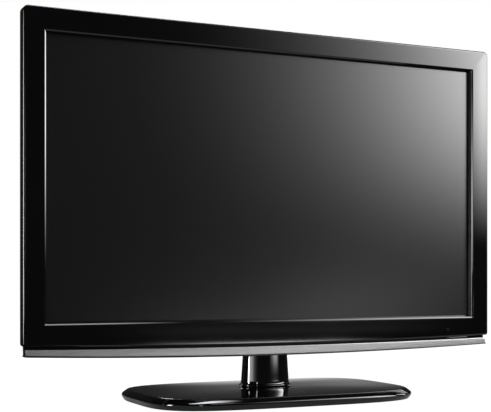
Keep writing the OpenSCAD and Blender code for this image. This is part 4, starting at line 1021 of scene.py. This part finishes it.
def build_world():
    """White to the camera, plain grey light on matte surfaces, a dark studio with pale patches in gloss."""
    world = bpy.data.worlds.new("studio")
    bpy.context.scene.world = world
    world.use_nodes = True
    tree = world.node_tree
    background = tree.nodes["Background"]
    background.inputs["Color"].default_value = (1, 1, 1, 1)
    path = tree.nodes.new("ShaderNodeLightPath")
    direction = tree.nodes.new("ShaderNodeTexCoord").outputs["Generated"]
    behind = add_lobe(tree, direction, 27.5, 0.145, 0.0, 0.045, 1.15)
    front = add_lobe(tree, direction, 153.0, 0.17, -0.075, 0.045, 0.23)
    gloss_level = math_node(tree, "ADD", math_node(tree, "ADD", behind, front), GLOSS_LEVEL)
    level = tree.nodes.new("ShaderNodeMix")
    level.inputs["A"].default_value = MATTE_LEVEL
    tree.links.new(path.outputs["Is Glossy Ray"], level.inputs["Factor"])
    tree.links.new(gloss_level, level.inputs["B"])
    seen = math_node(tree, "MAXIMUM", path.outputs["Is Camera Ray"], path.outputs["Is Transmission Ray"])
    final = tree.nodes.new("ShaderNodeMix")
    final.inputs["B"].default_value = 1.0
    tree.links.new(seen, final.inputs["Factor"])
    tree.links.new(level.outputs["Result"], final.inputs["A"])
    tree.links.new(final.outputs["Result"], background.inputs["Strength"])


def floor_material():
    """Pale matte floor that stays white in the picture and keeps a soft shadow."""
    material = bpy.data.materials.new("floor_white")
    material.use_nodes = True
    tree = material.node_tree
    tree.nodes.remove(tree.nodes["Principled BSDF"])
    output = tree.nodes["Material Output"]
    matte = tree.nodes.new("ShaderNodeBsdfDiffuse")
    matte.inputs["Color"].default_value = (0.85, 0.85, 0.85, 1)
    white = tree.nodes.new("ShaderNodeEmission")
    white.inputs["Strength"].default_value = FLOOR_GLOW
    path = tree.nodes.new("ShaderNodeLightPath")
    seen = math_node(tree, "MAXIMUM", path.outputs["Is Camera Ray"], path.outputs["Is Transmission Ray"])
    seen = math_node(tree, "MULTIPLY", seen, FLOOR_SHOWN)
    mirrored = math_node(tree, "MULTIPLY", path.outputs["Is Glossy Ray"], FLOOR_IN_GLOSS)
    shown = math_node(tree, "MAXIMUM", seen, mirrored)
    mix = tree.nodes.new("ShaderNodeMixShader")
    tree.links.new(shown, mix.inputs["Fac"])
    tree.links.new(matte.outputs["BSDF"], mix.inputs[1])
    tree.links.new(white.outputs["Emission"], mix.inputs[2])
    tree.links.new(mix.outputs["Shader"], output.inputs["Surface"])
    return material


def add_floor(name, x0, x1, y0, y1, z, material):
    corners = [(x0, y0, z), (x1, y0, z), (x1, y1, z), (x0, y1, z)]
    floor = add_mesh(name, np.array(corners) / MM, [(0, 1, 2, 3)])
    floor.data.materials.append(material)
    floor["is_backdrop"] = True
    return floor


def build_floor():
    """A table round the object, which gloss reflects, and the floor beyond it, which it doesn't."""
    material = floor_material()
    add_floor("table", -0.28, 0.6, -0.42, 0.3, 0.0, material)
    reach = FLOOR_REACH
    beyond = add_floor("floor", -reach, reach, -reach, reach, -FLOOR_DROP, material)
    beyond.visible_glossy = False
    beyond.visible_shadow = False


build_world()
build_floor()
bpy.context.scene.view_settings.view_transform = "Standard"

[[list(corner) for corner in box] for box in (cad_box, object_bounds())]
